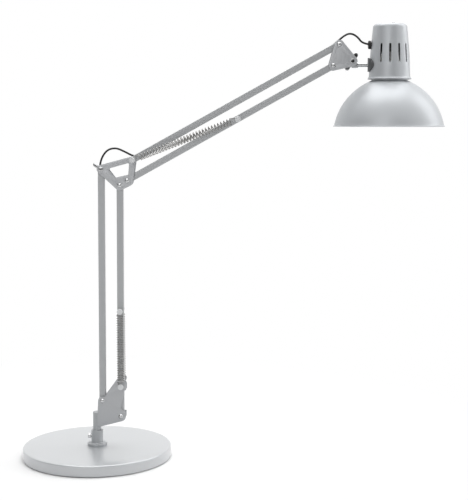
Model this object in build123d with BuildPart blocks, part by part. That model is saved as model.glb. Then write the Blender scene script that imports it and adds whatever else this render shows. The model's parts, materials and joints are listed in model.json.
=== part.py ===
"""Spring balanced desk lamp with two parallelogram arms on a round weighted base.

Millimetres. The origin is the centre of the round base on the table top, +Z is up and
+X points from the base towards the lamp head. The arms lie in the XZ plane, and -Y is
the front of the lamp. Places in the arm plane are (x, z) pairs.
"""

import os
from math import atan2, cos, degrees, hypot, pi, radians, sin, sqrt, tan

from build123d import *

os.makedirs("parts", exist_ok=True)

# ---------------------------------------------------------------- driving sizes
# Weighted base
BASE_D = 230.0
BASE_TOP = 17.5
BASE_EDGE_ROUND = 2.4
COVER_T = 1.2
COVER_LIFT = 0.9
PAD_D = BASE_D - 14.0
PAD_T = 2.0
PAD_EDGE = 0.5
CLOSING_PLATE_T = 1.2
INSIDE_GAP = 0.3
WEIGHT_GROOVE_IN_R = 58.0
WEIGHT_GROOVE_OUT_R = BASE_D / 2 - 17.0
WEIGHT_GROOVE_DEPTH = 7.0
WEIGHT_SCREW_PCD = 84.0
WEIGHT_SCREW_COUNT = 3
WEIGHT_SCREW_D = 4.0
WEIGHT_SCREW_L = 10.0
WEIGHT_SCREW_ROOF = 3.0
WEIGHT_SCREW_HEAD_D = 7.6
WEIGHT_SCREW_HEAD_SINK = 0.5
WEIGHT_SCREW_HEAD_GAP = 0.4

# Socket that the stem turns in
STEM_D = 12.6
SOCKET_D = STEM_D + 5.6
SOCKET_TOP = BASE_TOP + 24.5
SOCKET_EDGE = 0.7
FLANGE_D = SOCKET_D + 12.4
FLANGE_T = 4.2
SPIGOT_D = STEM_D + 4.0
SPIGOT_FOOT = PAD_T + CLOSING_PLATE_T + 1.0
SPIGOT_FIT = 0.15
SOCKET_NUT_AF = SPIGOT_D + 7.4
SOCKET_NUT_T = 6.0
SOCKET_WASHER_D = SOCKET_NUT_AF + 6.0
SOCKET_WASHER_T = 1.5
NUT_RECESS_D = SOCKET_WASHER_D + 4.0
NUT_RECESS_ROOF = BASE_TOP - 5.5
STEM_FLOOR = SPIGOT_FOOT + 3.8
THUMB_SCREW_Z = SOCKET_TOP - 9.6
THUMB_SCREW_D = 4.0
THUMB_SCREW_TIP_GAP = 0.3
THUMB_HEAD_D = 7.6
THUMB_HEAD_L = 4.6
THUMB_HEAD_GAP = 0.6

# Stem
STEM_TOP = SOCKET_TOP + 29.0
STEM_EDGE = 0.8

# Arm tubes and the stamped plates on both sides of them
ROD = 10.0
ROD_WALL = 0.6
ROD_EDGE_ROUND = 0.9
PLATE_GAP = ROD + 2.4
PLATE_T = 1.5
PIN_D = 2.6
RIVET_HEAD_D = 7.0
RIVET_HEAD_H = 2.0
BOLT_HEAD_D = 7.6
BOLT_HEAD_H = 1.8
BOLT_TIP_EDGE = 0.4
WASHER_D = 8.6

# Running fits
FIT = 0.05
OPEN_PIVOT_FIT = 0.09
FACE_GAP = 0.05

# Lower arm: a parallelogram from the stem bracket to the elbow
PIVOT_A = (9.6, SOCKET_TOP + 47.2)
LOWER_LINK = 37.5
LOWER_LINK_DIP = 41.0
LOWER_SPAN = 359.2
LOWER_REST = 89.67

# Elbow: main rod pivot C to the foot of the upper tie rod
ELBOW_REACH = 39.8
ELBOW_DROP = 17.4

# Upper arm: a parallelogram from the elbow to the head bracket
UPPER_LINK = 32.5
UPPER_LINK_RISE = 74.9
UPPER_SPAN = 356.8
UPPER_REST = 29.0

# Tilt pivot of the head, from the upper pivot of the head bracket
TILT_REACH = 19.8
TILT_DROP = 24.9

# Balance springs, one in front of the rods and one behind them
SPRING_D = 11.0
SPRING_SIDE_GAP = 0.3
SPRING_Y = PLATE_GAP / 2 + PLATE_T + SPRING_SIDE_GAP + SPRING_D / 2
SPRING_WIRE = 1.2
SPRING_TURNS = 25
LOWER_SPRING_TAIL = 7.0
UPPER_SPRING_TAIL = 11.0
EYE_GAP = 0.25
LOWER_PEG_RISE = 48.5
LOWER_PEG_SIDE = 0.9
LOWER_SPRING_REACH = 166.0
UPPER_SPRING_REACH = 192.0
PEG_CAP_D = 9.4
PEG_CAP_T = 3.0
PEG_CAP_Y = SPRING_Y + SPRING_WIRE / 2 + 1.5
PEG_CAP_SEAT = 2.0
PEG_CAP_FIT = 0.02
PEG_CAP_EDGE = 0.9

# Clamping nuts with two flat round lobes
WING_HUB_D = 9.0
WING_HUB_H = 5.0
WING_REACH = 15.4
STEM_WING_REACH = 11.5
WING_W = 7.4
WING_T = 3.6
WING_FOOT = 0.9
NUT_WASHER_D = 10.0
NUT_WASHER_T = 1.0
THREAD_SHOWN = 2.0
PEG_NUT_SEAT = SPRING_Y + SPRING_D / 2 + 0.4

# Head: knuckle, horizontal bolt, cap and shade
KNUCKLE_D = 14.6
BOLT_DROP = 5.4
HEAD_BOLT_D = 6.2
COLLAR_D = HEAD_BOLT_D + 2.6
COLLAR_T = 1.6
HEAD_REACH = 56.8
CAP_TOP_ABOVE_BOLT = 61.0
CAP_FOOT_BELOW_BOLT = 21.5
CAP_TOP_R = 25.2
CAP_MID_R = 29.0
CAP_FOOT_R = 31.3
CAP_SHOULDER = 6.0
CAP_LIP_R = CAP_FOOT_R + 1.7
CAP_LIP_H = 4.0
CAP_LIP_T = 0.9
CAP_WALL = 1.2
SLOT_COUNT = 10
SLOT_STEP = 27.5
SLOT_W = 3.3
SLOT_H = 27.6
SLOT_ABOVE_BOLT = 17.3
SADDLE_W = 34.0
SADDLE_H = 20.6
SADDLE_T = 2.6
INNER_SADDLE_T = 2.0
HEAD_NUT_AF = HEAD_BOLT_D + 3.8
HEAD_NUT_T = 4.4
GROMMET_ABOVE_BOLT = 29.8
GROMMET_D = 12.6
GROMMET_NECK_D = 8.0
GROMMET_T = 4.0
SHADE_R = 83.0
SHADE_H = 71.0
SHADE_SHOULDER_R = 58.3
SHADE_SHOULDER_RISE = 48.3
SHADE_SIDE_BEND = 88.2
SHADE_NECK_RISE = 69.2
SHADE_WALL = 1.0
SHADE_NECK_R = 27.1
SHADE_NECK_TOP = 3.2
SHADE_RIM_R = SHADE_R + 1.2
SHADE_RIM_T = 1.3
SHADE_FLANGE_R = SHADE_NECK_R + 1.8
CAP_RING_T = 1.6
CAP_RING_FIT = 0.2
NECK_RING_FIT = 0.1
HOLDER_D = 38.0
HOLDER_H = 22.0
HOLDER_DOME_D = 25.0
HOLDER_DOME_H = 8.0
HOLDER_ABOVE_BOLT = 19.0
HOLDER_BORE_D = 27.0
HOLDER_LEAD_DEPTH = 3.0
HOLDER_SCREW_PCD = 21.4
HOLDER_SCREW_D = 3.0
HOLDER_SCREW_HEAD_D = 4.6
HOLDER_SCREW_HEAD_H = 1.8
HOLDER_SCREW_TURN = 172.0
BULB_D = 56.0
BULB_NECK_D = 26.0
BULB_CAP_D = HOLDER_BORE_D - 0.6
BULB_CAP_H = 20.0
BULB_LENGTH = 108.0

# Lead that runs through the main rods to the lamp holder
LEAD_D = 3.0
LEAD_SIDE = (PIN_D / 2 + ROD / 2 - ROD_WALL) / 2
LEAD_BUSH_H = 8.0
LEAD_END = 15.0
LEAD_SLOT_W = LEAD_D + 0.8


# ---------------------------------------------------------------- places
def polar(start, length, angle):
    """A point at a distance from start, at an angle in degrees above +X."""
    return (start[0] + length * cos(radians(angle)), start[1] + length * sin(radians(angle)))


def off_rod(start, angle, along, side):
    """A point along a rod's axis and to its left side, from its foot pivot."""
    return polar(polar(start, along, angle), side, angle + 90)


PIVOT_B = polar(PIVOT_A, LOWER_LINK, -LOWER_LINK_DIP)
PIVOT_C = polar(PIVOT_A, LOWER_SPAN, LOWER_REST)
PIVOT_D = polar(PIVOT_B, LOWER_SPAN, LOWER_REST)
PIVOT_F = (PIVOT_C[0] + ELBOW_REACH, PIVOT_C[1] - ELBOW_DROP)
PIVOT_E = polar(PIVOT_F, UPPER_LINK, UPPER_LINK_RISE)
PIVOT_P1 = polar(PIVOT_E, UPPER_SPAN, UPPER_REST)
PIVOT_P2 = polar(PIVOT_F, UPPER_SPAN, UPPER_REST)
PIVOT_P3 = (PIVOT_P1[0] + TILT_REACH, PIVOT_P1[1] - TILT_DROP)

PEG_H = (PIVOT_B[0] + LOWER_PEG_SIDE, PIVOT_B[1] + LOWER_PEG_RISE)
PEG_I = polar(PIVOT_B, LOWER_SPRING_REACH, LOWER_REST)
PEG_G = polar(PIVOT_F, UPPER_SPRING_REACH, UPPER_REST)

PLATE_IN = PLATE_GAP / 2
PLATE_OUT = PLATE_IN + PLATE_T
PIN_R = PIN_D / 2
HOLE_R = PIN_R + FIT

BOLT_Z = PIVOT_P3[1] - BOLT_DROP
HEAD_X = PIVOT_P3[0] + HEAD_REACH
CAP_TOP = BOLT_Z + CAP_TOP_ABOVE_BOLT
CAP_FOOT = BOLT_Z - CAP_FOOT_BELOW_BOLT
SHADE_RIM = CAP_FOOT - SHADE_H
GROMMET_Z = BOLT_Z + GROMMET_ABOVE_BOLT
HEAD_AXIS = Plane(origin=(HEAD_X, 0, 0), x_dir=(1, 0, 0), z_dir=(0, -1, 0))


def save(piece, name):
    """Label a finished piece and write it out."""
    piece.part.label = name
    export_step(piece.part, f"parts/{name}.step")


def at(point, y=0.0):
    """A place in the arm plane as a point in space."""
    return (point[0], y, point[1])


def front_plane(y):
    """The plane at a given Y, seen from the front, whose extrusions go towards -Y."""
    return Plane.XZ.offset(-y)


# ---------------------------------------------------------------- weighted base
COVER_IN_R = BASE_D / 2 - COVER_T
COVER_ROOF = BASE_TOP - COVER_T
WEIGHT_FOOT = PAD_T + CLOSING_PLATE_T
WEIGHT_R = COVER_IN_R - INSIDE_GAP
SPIGOT_HOLE_R = SPIGOT_D / 2 + SPIGOT_FIT

with BuildPart() as base_cover:
    with Locations((0, 0, COVER_LIFT)):
        Cylinder(BASE_D / 2, BASE_TOP - COVER_LIFT, align=(Align.CENTER, Align.CENTER, Align.MIN))
    fillet(base_cover.edges().sort_by(Axis.Z)[-1], BASE_EDGE_ROUND)
    with BuildPart(mode=Mode.PRIVATE) as cover_inside:
        Cylinder(COVER_IN_R, COVER_ROOF, align=(Align.CENTER, Align.CENTER, Align.MIN))
        fillet(cover_inside.edges().sort_by(Axis.Z)[-1], BASE_EDGE_ROUND - COVER_T)
    add(cover_inside.part, mode=Mode.SUBTRACT)
    Cylinder(SPIGOT_HOLE_R, BASE_TOP * 3, mode=Mode.SUBTRACT)
save(base_cover, "base_cover")

with BuildPart() as base_weight:
    with Locations((0, 0, WEIGHT_FOOT)):
        Cylinder(WEIGHT_R, COVER_ROOF - WEIGHT_FOOT, align=(Align.CENTER, Align.CENTER, Align.MIN))
    chamfer(base_weight.edges().sort_by(Axis.Z)[-1], BASE_EDGE_ROUND - COVER_T)
    with BuildSketch(Plane.XY.offset(WEIGHT_FOOT)):
        Circle(WEIGHT_GROOVE_OUT_R)
        Circle(WEIGHT_GROOVE_IN_R, mode=Mode.SUBTRACT)
    extrude(amount=WEIGHT_GROOVE_DEPTH, mode=Mode.SUBTRACT)
    with BuildSketch(Plane.XY.offset(WEIGHT_FOOT)):
        Circle(NUT_RECESS_D / 2)
    extrude(amount=NUT_RECESS_ROOF - WEIGHT_FOOT, mode=Mode.SUBTRACT)
    Cylinder(SPIGOT_HOLE_R, BASE_TOP * 3, mode=Mode.SUBTRACT)
    with BuildSketch(Plane.XY.offset(WEIGHT_FOOT)):
        with PolarLocations(WEIGHT_SCREW_PCD / 2, WEIGHT_SCREW_COUNT):
            Circle(WEIGHT_SCREW_D / 2 + FIT)
    extrude(amount=COVER_ROOF - WEIGHT_FOOT - WEIGHT_SCREW_ROOF, mode=Mode.SUBTRACT)
save(base_weight, "base_weight")

with BuildPart() as closing_plate:
    with BuildSketch(Plane.XY.offset(PAD_T)):
        Circle(WEIGHT_R)
        with PolarLocations(WEIGHT_SCREW_PCD / 2, WEIGHT_SCREW_COUNT):
            Circle(WEIGHT_SCREW_D / 2 + FIT, mode=Mode.SUBTRACT)
    extrude(amount=CLOSING_PLATE_T)
save(closing_plate, "closing_plate")

with BuildPart() as foot_pad:
    with BuildSketch():
        Circle(PAD_D / 2)
        with PolarLocations(WEIGHT_SCREW_PCD / 2, WEIGHT_SCREW_COUNT):
            Circle(WEIGHT_SCREW_HEAD_D / 2 + WEIGHT_SCREW_HEAD_GAP, mode=Mode.SUBTRACT)
    extrude(amount=PAD_T)
    rims = foot_pad.edges().filter_by(GeomType.CIRCLE).sort_by(SortBy.RADIUS)[-2:]
    chamfer(rims.sort_by(Axis.Z)[0], PAD_EDGE)
save(foot_pad, "foot_pad")

with BuildPart() as weight_screws:
    with PolarLocations(WEIGHT_SCREW_PCD / 2, WEIGHT_SCREW_COUNT):
        with Locations((0, 0, PAD_T)):
            Cylinder(WEIGHT_SCREW_HEAD_D / 2, PAD_T - WEIGHT_SCREW_HEAD_SINK,
                     align=(Align.CENTER, Align.CENTER, Align.MAX))
            Cylinder(WEIGHT_SCREW_D / 2, WEIGHT_SCREW_L, align=(Align.CENTER, Align.CENTER, Align.MIN))
save(weight_screws, "weight_screws")

# ---------------------------------------------------------------- socket and stem
with BuildPart() as base_socket:
    with BuildSketch(Plane.XZ):
        with BuildLine():
            Polyline(
                (0, SPIGOT_FOOT),
                (SPIGOT_D / 2, SPIGOT_FOOT),
                (SPIGOT_D / 2, BASE_TOP),
                (FLANGE_D / 2, BASE_TOP),
                (FLANGE_D / 2, BASE_TOP + FLANGE_T),
                (SOCKET_D / 2, BASE_TOP + FLANGE_T),
                (SOCKET_D / 2, SOCKET_TOP),
                (0, SOCKET_TOP),
                close=True,
            )
        make_face()
    revolve(axis=Axis.Z)
    rims = base_socket.edges().filter_by(GeomType.CIRCLE).sort_by(Axis.Z)
    fillet([rims[-1], rims.sort_by(SortBy.RADIUS)[-2:].sort_by(Axis.Z)[-1]], SOCKET_EDGE)
    with BuildSketch(Plane.XY.offset(STEM_FLOOR)):
        Circle(STEM_D / 2 + FIT)
    extrude(amount=SOCKET_TOP, mode=Mode.SUBTRACT)
    with BuildSketch(Plane.YZ.offset(-SOCKET_D)):
        with Locations((0, THUMB_SCREW_Z)):
            Circle(THUMB_SCREW_D / 2 + FIT)
    extrude(amount=SOCKET_D, mode=Mode.SUBTRACT)
save(base_socket, "base_socket")

with BuildPart() as socket_nut:
    with BuildSketch(Plane.XY.offset(NUT_RECESS_ROOF - SOCKET_WASHER_T)):
        Circle(SOCKET_WASHER_D / 2)
    extrude(amount=SOCKET_WASHER_T)
    with BuildSketch(Plane.XY.offset(NUT_RECESS_ROOF - SOCKET_WASHER_T - SOCKET_NUT_T)):
        RegularPolygon(SOCKET_NUT_AF / 2, 6, major_radius=False)
    extrude(amount=SOCKET_NUT_T)
    Cylinder(SPIGOT_D / 2 + FIT, BASE_TOP * 3, mode=Mode.SUBTRACT)
save(socket_nut, "socket_nut")

with BuildPart() as thumb_screw:
    with BuildSketch(Plane.YZ.offset(-SOCKET_D / 2 - THUMB_HEAD_GAP)):
        with Locations((0, THUMB_SCREW_Z)):
            Circle(THUMB_HEAD_D / 2)
    extrude(amount=-THUMB_HEAD_L)
    chamfer(thumb_screw.edges().sort_by(Axis.X)[0], SOCKET_EDGE)
    with BuildSketch(Plane.YZ.offset(-SOCKET_D / 2 - THUMB_HEAD_GAP)):
        with Locations((0, THUMB_SCREW_Z)):
            Circle(THUMB_SCREW_D / 2)
    extrude(amount=SOCKET_D / 2 + THUMB_HEAD_GAP - STEM_D / 2 - THUMB_SCREW_TIP_GAP)
save(thumb_screw, "thumb_screw")


# ---------------------------------------------------------------- stamped plates
def both_sides(outline, name_front, name_rear):
    """Extrude one outline into the front plate and the rear plate."""
    for name, y in ((name_front, -PLATE_IN), (name_rear, PLATE_OUT)):
        with BuildPart() as plate:
            with BuildSketch(front_plane(y)):
                add(outline)
            extrude(amount=PLATE_T)
        save(plate, name)


def hull_of(rounds):
    """A sketch face that wraps round corners, each given as a point and a radius."""
    with BuildSketch(mode=Mode.PRIVATE) as wrap:
        with BuildLine():
            for centre, radius in rounds:
                CenterArc(centre, radius, 0, 360)
        make_hull()
    return wrap.sketch


STEM_PLATE_FOOT = (PIVOT_A[0] - 4.4, PIVOT_A[1] - 36.4)
STEM_PLATE_FOOT_R = 4.4
STEM_PLATE_TOP = (PEG_H[0] - 2.1, PEG_H[1] + 1.6)
with BuildSketch() as stem_outline:
    add(hull_of([(PIVOT_A, 6.8), (PIVOT_B, 7.8), (STEM_PLATE_FOOT, STEM_PLATE_FOOT_R)]))
    add(hull_of([(PIVOT_A, 1.0), (PIVOT_B, 7.8), (PEG_H, 8.0), (STEM_PLATE_TOP, 8.0)]))
    with BuildLine():
        FilletPolyline(
            (PEG_H[0] + 14, PEG_H[1] - 7),
            (PEG_H[0] + 5.2, PEG_H[1] - 7),
            (PIVOT_B[0] - 0.2, PIVOT_B[1] + 13.6),
            (PIVOT_B[0] + 5.0, PIVOT_B[1] + 7.2),
            (PIVOT_B[0] + 14, PIVOT_B[1] + 7.2),
            radius=1.6,
        )
        Line((PIVOT_B[0] + 14, PIVOT_B[1] + 7.2), (PEG_H[0] + 14, PEG_H[1] - 7))
    make_face(mode=Mode.SUBTRACT)
    for pivot in (PIVOT_A, PIVOT_B, PEG_H):
        with Locations(pivot):
            Circle(HOLE_R, mode=Mode.SUBTRACT)
both_sides(stem_outline.sketch, "stem_plate_front", "stem_plate_rear")

STEM_PLATE_Z = STEM_PLATE_FOOT[1] - STEM_PLATE_FOOT_R
with BuildPart() as stem:
    with BuildSketch(Plane.XY.offset(STEM_FLOOR)):
        Circle(STEM_D / 2)
    extrude(amount=STEM_TOP - STEM_FLOOR)
    chamfer(stem.edges().filter_by(GeomType.CIRCLE).sort_by(Axis.Z)[-1], STEM_EDGE)
    for side in (1, -1):
        with Locations((0, side * PLATE_IN, STEM_PLATE_Z - 1)):
            Box(STEM_D * 2, STEM_D, STEM_TOP,
                align=(Align.CENTER, Align.MIN if side > 0 else Align.MAX, Align.MIN), mode=Mode.SUBTRACT)
save(stem, "stem")

ELBOW_WINDOW = [
    (PIVOT_C[0] + 10.6, PIVOT_C[1] + 0.4),
    (PIVOT_D[0] - 7.0, PIVOT_D[1] + 11.2),
    (PIVOT_F[0] + 1.6, PIVOT_F[1] + 8.6),
    (PIVOT_E[0] - 5.2, PIVOT_E[1] - 4.6),
]
with BuildSketch() as elbow_outline:
    add(hull_of([(PIVOT_C, 6.4), (PIVOT_E, 5.2), (PIVOT_F, 9.2), (PIVOT_D, 7.8)]))
    with BuildLine():
        FilletPolyline(*ELBOW_WINDOW, radius=1.8, close=True)
    make_face(mode=Mode.SUBTRACT)
    for pivot in (PIVOT_C, PIVOT_D, PIVOT_E, PIVOT_F):
        with Locations(pivot):
            Circle(HOLE_R, mode=Mode.SUBTRACT)
both_sides(elbow_outline.sketch, "elbow_plate_front", "elbow_plate_rear")

with BuildSketch() as head_outline:
    add(hull_of([(PIVOT_P1, 6.8), (PIVOT_P2, 7.4), (PIVOT_P3, 7.6)]))
    for pivot in (PIVOT_P1, PIVOT_P2, PIVOT_P3):
        with Locations(pivot):
            Circle(HOLE_R, mode=Mode.SUBTRACT)
both_sides(head_outline.sketch, "head_plate_front", "head_plate_rear")


# ---------------------------------------------------------------- pivots
def rivets(points, name):
    """Pivot rivets through both plates, with a domed head on each side."""
    with BuildPart() as pins:
        with BuildSketch(front_plane(PLATE_OUT)):
            with Locations(*points):
                Circle(PIN_R)
        extrude(amount=2 * PLATE_OUT)
        for y, way in ((-PLATE_OUT, 1), (PLATE_OUT, -1)):
            with BuildSketch(front_plane(y)):
                with Locations(*points):
                    Circle(RIVET_HEAD_D / 2)
            extrude(amount=way * RIVET_HEAD_H)
        ends = pins.edges().filter_by(GeomType.CIRCLE).group_by(Axis.Y)
        fillet(ends[0] + ends[-1], RIVET_HEAD_H * 0.8)
    save(pins, name)


rivets([PIVOT_A, PIVOT_B], "stem_rivets")
rivets([PIVOT_D, PIVOT_F], "elbow_rivets")
rivets([PIVOT_P1, PIVOT_P2], "head_rivets")

NUT_SEAT = PLATE_OUT + NUT_WASHER_T
BOLT_END = NUT_SEAT + WING_HUB_H + THREAD_SHOWN


def pivot_bolt(point, name):
    """A bolt with a low round head in front and its threaded end at the back."""
    with BuildPart() as bolt:
        with BuildSketch(front_plane(BOLT_END)):
            with Locations(point):
                Circle(PIN_R)
        extrude(amount=BOLT_END + PLATE_OUT)
        chamfer(bolt.edges().sort_by(Axis.Y)[-1], BOLT_TIP_EDGE)
        with BuildSketch(front_plane(-PLATE_OUT)):
            with Locations(point):
                Circle(BOLT_HEAD_D / 2)
        extrude(amount=BOLT_HEAD_H)
        fillet(bolt.edges().filter_by(GeomType.CIRCLE).sort_by(Axis.Y)[0], BOLT_HEAD_H * 0.6)
    save(bolt, name)


def wing_nut(point, seat, turn, name, reach=WING_REACH):
    """A washer and a two-lobed nut on a threaded end behind the rear plate."""
    with BuildPart() as nut:
        with BuildSketch(front_plane(seat + WING_HUB_H)):
            with Locations(point):
                Circle(WING_HUB_D / 2)
        extrude(amount=WING_HUB_H)
        with BuildSketch(front_plane(seat + WING_FOOT + WING_T)):
            with Locations(Location(point, turn)):
                SlotOverall(2 * reach, WING_W)
        extrude(amount=WING_T)
        with BuildSketch(front_plane(seat)):
            with Locations(point):
                Circle(NUT_WASHER_D / 2)
        extrude(amount=NUT_WASHER_T)
        with BuildSketch(front_plane(seat + 2 * WING_HUB_H)):
            with Locations(point):
                Circle(HOLE_R)
        extrude(amount=4 * WING_HUB_H, mode=Mode.SUBTRACT)
    save(nut, name)


pivot_bolt(PIVOT_C, "elbow_bolt")
pivot_bolt(PIVOT_P3, "tilt_bolt")
wing_nut(PIVOT_C, NUT_SEAT, 150, "elbow_wing_nut")
wing_nut(PIVOT_P3, NUT_SEAT, 57, "tilt_wing_nut")
wing_nut(PEG_H, PEG_NUT_SEAT, 66, "stem_wing_nut", STEM_WING_REACH)


def pivot_washers(points, name, gap=PLATE_IN - ROD / 2):
    """Thin nylon washers that keep the tubes off the plates, in pairs."""
    with BuildPart() as washers:
        for y in (-PLATE_IN + gap - FACE_GAP, PLATE_IN):
            with BuildSketch(front_plane(y)):
                for point in points:
                    with Locations(point):
                        Circle(WASHER_D / 2)
                        Circle(HOLE_R, mode=Mode.SUBTRACT)
            extrude(amount=gap - FACE_GAP)
    save(washers, name)


pivot_washers([PIVOT_A, PIVOT_B], "stem_pivot_washers")
pivot_washers([PIVOT_C, PIVOT_D, PIVOT_E, PIVOT_F], "elbow_pivot_washers")
pivot_washers([PIVOT_P1, PIVOT_P2], "head_pivot_washers")


# ---------------------------------------------------------------- arm tubes
def arm_tube(foot, span, angle, name, foot_fit=FIT, tip_fit=FIT, pin_at=None, lead_slots=()):
    """A square tube with rounded ends, a pivot hole at each end and an open bore."""
    tip = polar(foot, span, angle)
    middle = polar(foot, span / 2, angle)
    with BuildPart() as tube:
        with BuildSketch(front_plane(ROD / 2)):
            with Locations(Location(middle, angle)):
                SlotCenterToCenter(span, ROD)
        extrude(amount=ROD)
        fillet(tube.faces().filter_by(Axis.Y).edges(), ROD_EDGE_ROUND)
        bore = ROD - 2 * ROD_WALL
        with BuildSketch(front_plane(bore / 2)):
            with Locations(Location(middle, angle)):
                Rectangle(span + 2 * ROD, bore)
        extrude(amount=bore, mode=Mode.SUBTRACT)
        holes = [(foot, PIN_R + foot_fit), (tip, PIN_R + tip_fit)]
        if pin_at:
            holes.append((pin_at, HOLE_R))
        with BuildSketch(front_plane(ROD)):
            for centre, radius in holes:
                with Locations(centre):
                    Circle(radius)
        extrude(amount=2 * ROD, mode=Mode.SUBTRACT)
        for start, end in lead_slots:
            with BuildSketch(front_plane(LEAD_SLOT_W / 2)):
                with Locations(Location(off_rod(foot, angle, (start + end) / 2, ROD / 2), angle)):
                    Rectangle(end - start, 4 * ROD_WALL)
            extrude(amount=LEAD_SLOT_W, mode=Mode.SUBTRACT)
    save(tube, name)


LEAD_SLOTS = ((-ROD, 13.5), (UPPER_SPAN - 15.0, UPPER_SPAN + ROD))
arm_tube(PIVOT_A, LOWER_SPAN, LOWER_REST, "lower_main_rod")
arm_tube(PIVOT_B, LOWER_SPAN, LOWER_REST, "lower_tie_rod", tip_fit=OPEN_PIVOT_FIT, pin_at=PEG_I)
arm_tube(PIVOT_E, UPPER_SPAN, UPPER_REST, "upper_main_rod", lead_slots=LEAD_SLOTS)
arm_tube(PIVOT_F, UPPER_SPAN, UPPER_REST, "upper_tie_rod", tip_fit=OPEN_PIVOT_FIT, pin_at=PEG_G)


# ---------------------------------------------------------------- spring pegs
PEG_END = PEG_CAP_Y + PEG_CAP_SEAT


def through_peg(point, name):
    """A plain pin through a tube that carries a spring eye on each side."""
    with BuildPart() as peg:
        with BuildSketch(front_plane(PEG_END)):
            with Locations(point):
                Circle(PIN_R)
        extrude(amount=2 * PEG_END)
    save(peg, name)


def peg_caps(point, name, sides=(-1, 1)):
    """Pale round caps pressed on the ends of a peg."""
    with BuildPart() as caps:
        for side in sides:
            with BuildSketch(front_plane(side * PEG_CAP_Y)):
                with Locations(point):
                    Circle(PEG_CAP_D / 2)
            extrude(amount=-side * PEG_CAP_T)
        outer = caps.edges().filter_by(lambda e: abs(abs(e.center().Y) - PEG_CAP_Y - PEG_CAP_T) < 0.01)
        fillet(outer, PEG_CAP_EDGE)
        with BuildSketch(front_plane(PEG_END)):
            with Locations(point):
                Circle(PIN_R + PEG_CAP_FIT)
        extrude(amount=2 * PEG_END, mode=Mode.SUBTRACT)
    save(caps, name)


through_peg(PEG_I, "lower_spring_pin")
peg_caps(PEG_I, "lower_spring_pin_caps")
through_peg(PEG_G, "upper_spring_pin")
peg_caps(PEG_G, "upper_spring_pin_caps")
through_peg(PIVOT_E, "elbow_spring_pin")
peg_caps(PIVOT_E, "elbow_spring_pin_caps")
peg_caps(PEG_H, "stem_peg_cap", sides=(-1,))

with BuildPart() as stem_pegs:
    rear_end = PEG_NUT_SEAT + WING_HUB_H + THREAD_SHOWN
    for start, length in ((-PLATE_IN, PEG_END - PLATE_IN), (rear_end, rear_end - PLATE_IN)):
        with BuildSketch(front_plane(start)):
            with Locations(PEG_H):
                Circle(PIN_R)
        extrude(amount=length)
save(stem_pegs, "stem_spring_pegs")


# ---------------------------------------------------------------- balance springs
def biarc(start, start_way, end, end_way):
    """Two tangent arcs in space between two points with given directions."""
    gap = end - start
    ways = start_way + end_way
    bend = 2 * (1 - start_way.dot(end_way))
    if bend < 1e-9:
        reach = gap.dot(gap) / (4 * gap.dot(end_way))
    else:
        reach = (sqrt(gap.dot(ways) ** 2 + bend * gap.dot(gap)) - gap.dot(ways)) / bend
    middle = (start + end + (start_way - end_way) * reach) * 0.5
    middle_way = (end - start - ways * reach).normalized()
    return [
        Edge.make_tangent_arc(start, start_way, middle),
        Edge.make_tangent_arc(middle, middle_way, end),
    ]


def spring_path(length, tail):
    """The wire's centre line: an eye, the coil and a second eye, along local +Z."""
    eye_r = PIN_R + EYE_GAP + SPRING_WIRE / 2
    coil_r = (SPRING_D - SPRING_WIRE) / 2
    coil_length = length - 2 * tail
    pitch = coil_length / SPRING_TURNS
    slope = Vector(0, 2 * pi * coil_r, pitch).normalized()
    leave = radians(125)
    tip = Vector(eye_r * cos(leave), 0, eye_r * sin(leave))
    back = Vector(sin(leave), 0, -cos(leave))
    low, side = Vector(0, 0, -eye_r), Vector(eye_r, 0, 0)
    neck = side + Vector(0, 0, SPRING_WIRE)
    path = [Edge.make_line(tip + back * SPRING_WIRE, tip)]
    path.append(Edge.make_tangent_arc(tip, back * -1, low))
    path.append(Edge.make_tangent_arc(low, Vector(1, 0, 0), side))
    path.append(Edge.make_line(side, neck))
    path += biarc(neck, Vector(0, 0, 1), Vector(coil_r, 0, tail), slope)
    for half in range(2 * SPRING_TURNS):
        turned = [pi * (half + step) for step in (0, 1)]
        ends = [Vector(coil_r * cos(a), coil_r * sin(a), tail + pitch * a / (2 * pi)) for a in turned]
        ways = [Vector(-slope.Y * sin(a), slope.Y * cos(a), slope.Z) for a in turned]
        path += biarc(ends[0], ways[0], ends[1], ways[1])
    half_turn = Axis((0, 0, length / 2), (1, 0, 0))
    return path + [edge.rotate(half_turn, 180).reversed() for edge in reversed(path[:6])]


def spring_gap(path):
    """The least clear gap between stretches of the wire that are over half a turn apart."""
    points, run = [], 0.0
    for edge in path:
        steps = max(4, int(edge.length / 0.8))
        points += [(run + edge.length * i / steps, edge.position_at(i / steps)) for i in range(steps)]
        run += edge.length
    apart = pi * (SPRING_D - SPRING_WIRE) / 2
    least = 1e9
    for i, (here, point) in enumerate(points):
        for there, other in points[i + 1:i + 120]:
            if there - here > apart:
                least = min(least, (point - other).length)
    return least - SPRING_WIRE


def spring_pair(start, end, tail, name_front, name_rear):
    """The front and the rear spring between two pegs."""
    length = hypot(end[0] - start[0], end[1] - start[1])
    way = Vector(end[0] - start[0], 0, end[1] - start[1])
    path = spring_path(length, tail)
    print(name_front, "least gap between turns", round(spring_gap(path), 2))
    with BuildPart() as wire:
        with BuildLine():
            for edge in path:
                add(edge)
        with BuildSketch(Plane(origin=path[0] @ 0, z_dir=path[0] % 0)):
            Circle(SPRING_WIRE / 2)
        sweep()
    for name, y in ((name_front, -SPRING_Y), (name_rear, SPRING_Y)):
        seat = Plane(origin=at(start, y), x_dir=way.cross(Vector(0, 1, 0)), z_dir=way)
        with BuildPart() as spring:
            add(seat.location * wire.part)
        save(spring, name)


spring_pair(PEG_H, PEG_I, LOWER_SPRING_TAIL, "lower_spring_front", "lower_spring_rear")
spring_pair(PIVOT_E, PEG_G, UPPER_SPRING_TAIL, "upper_spring_front", "upper_spring_rear")

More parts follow.
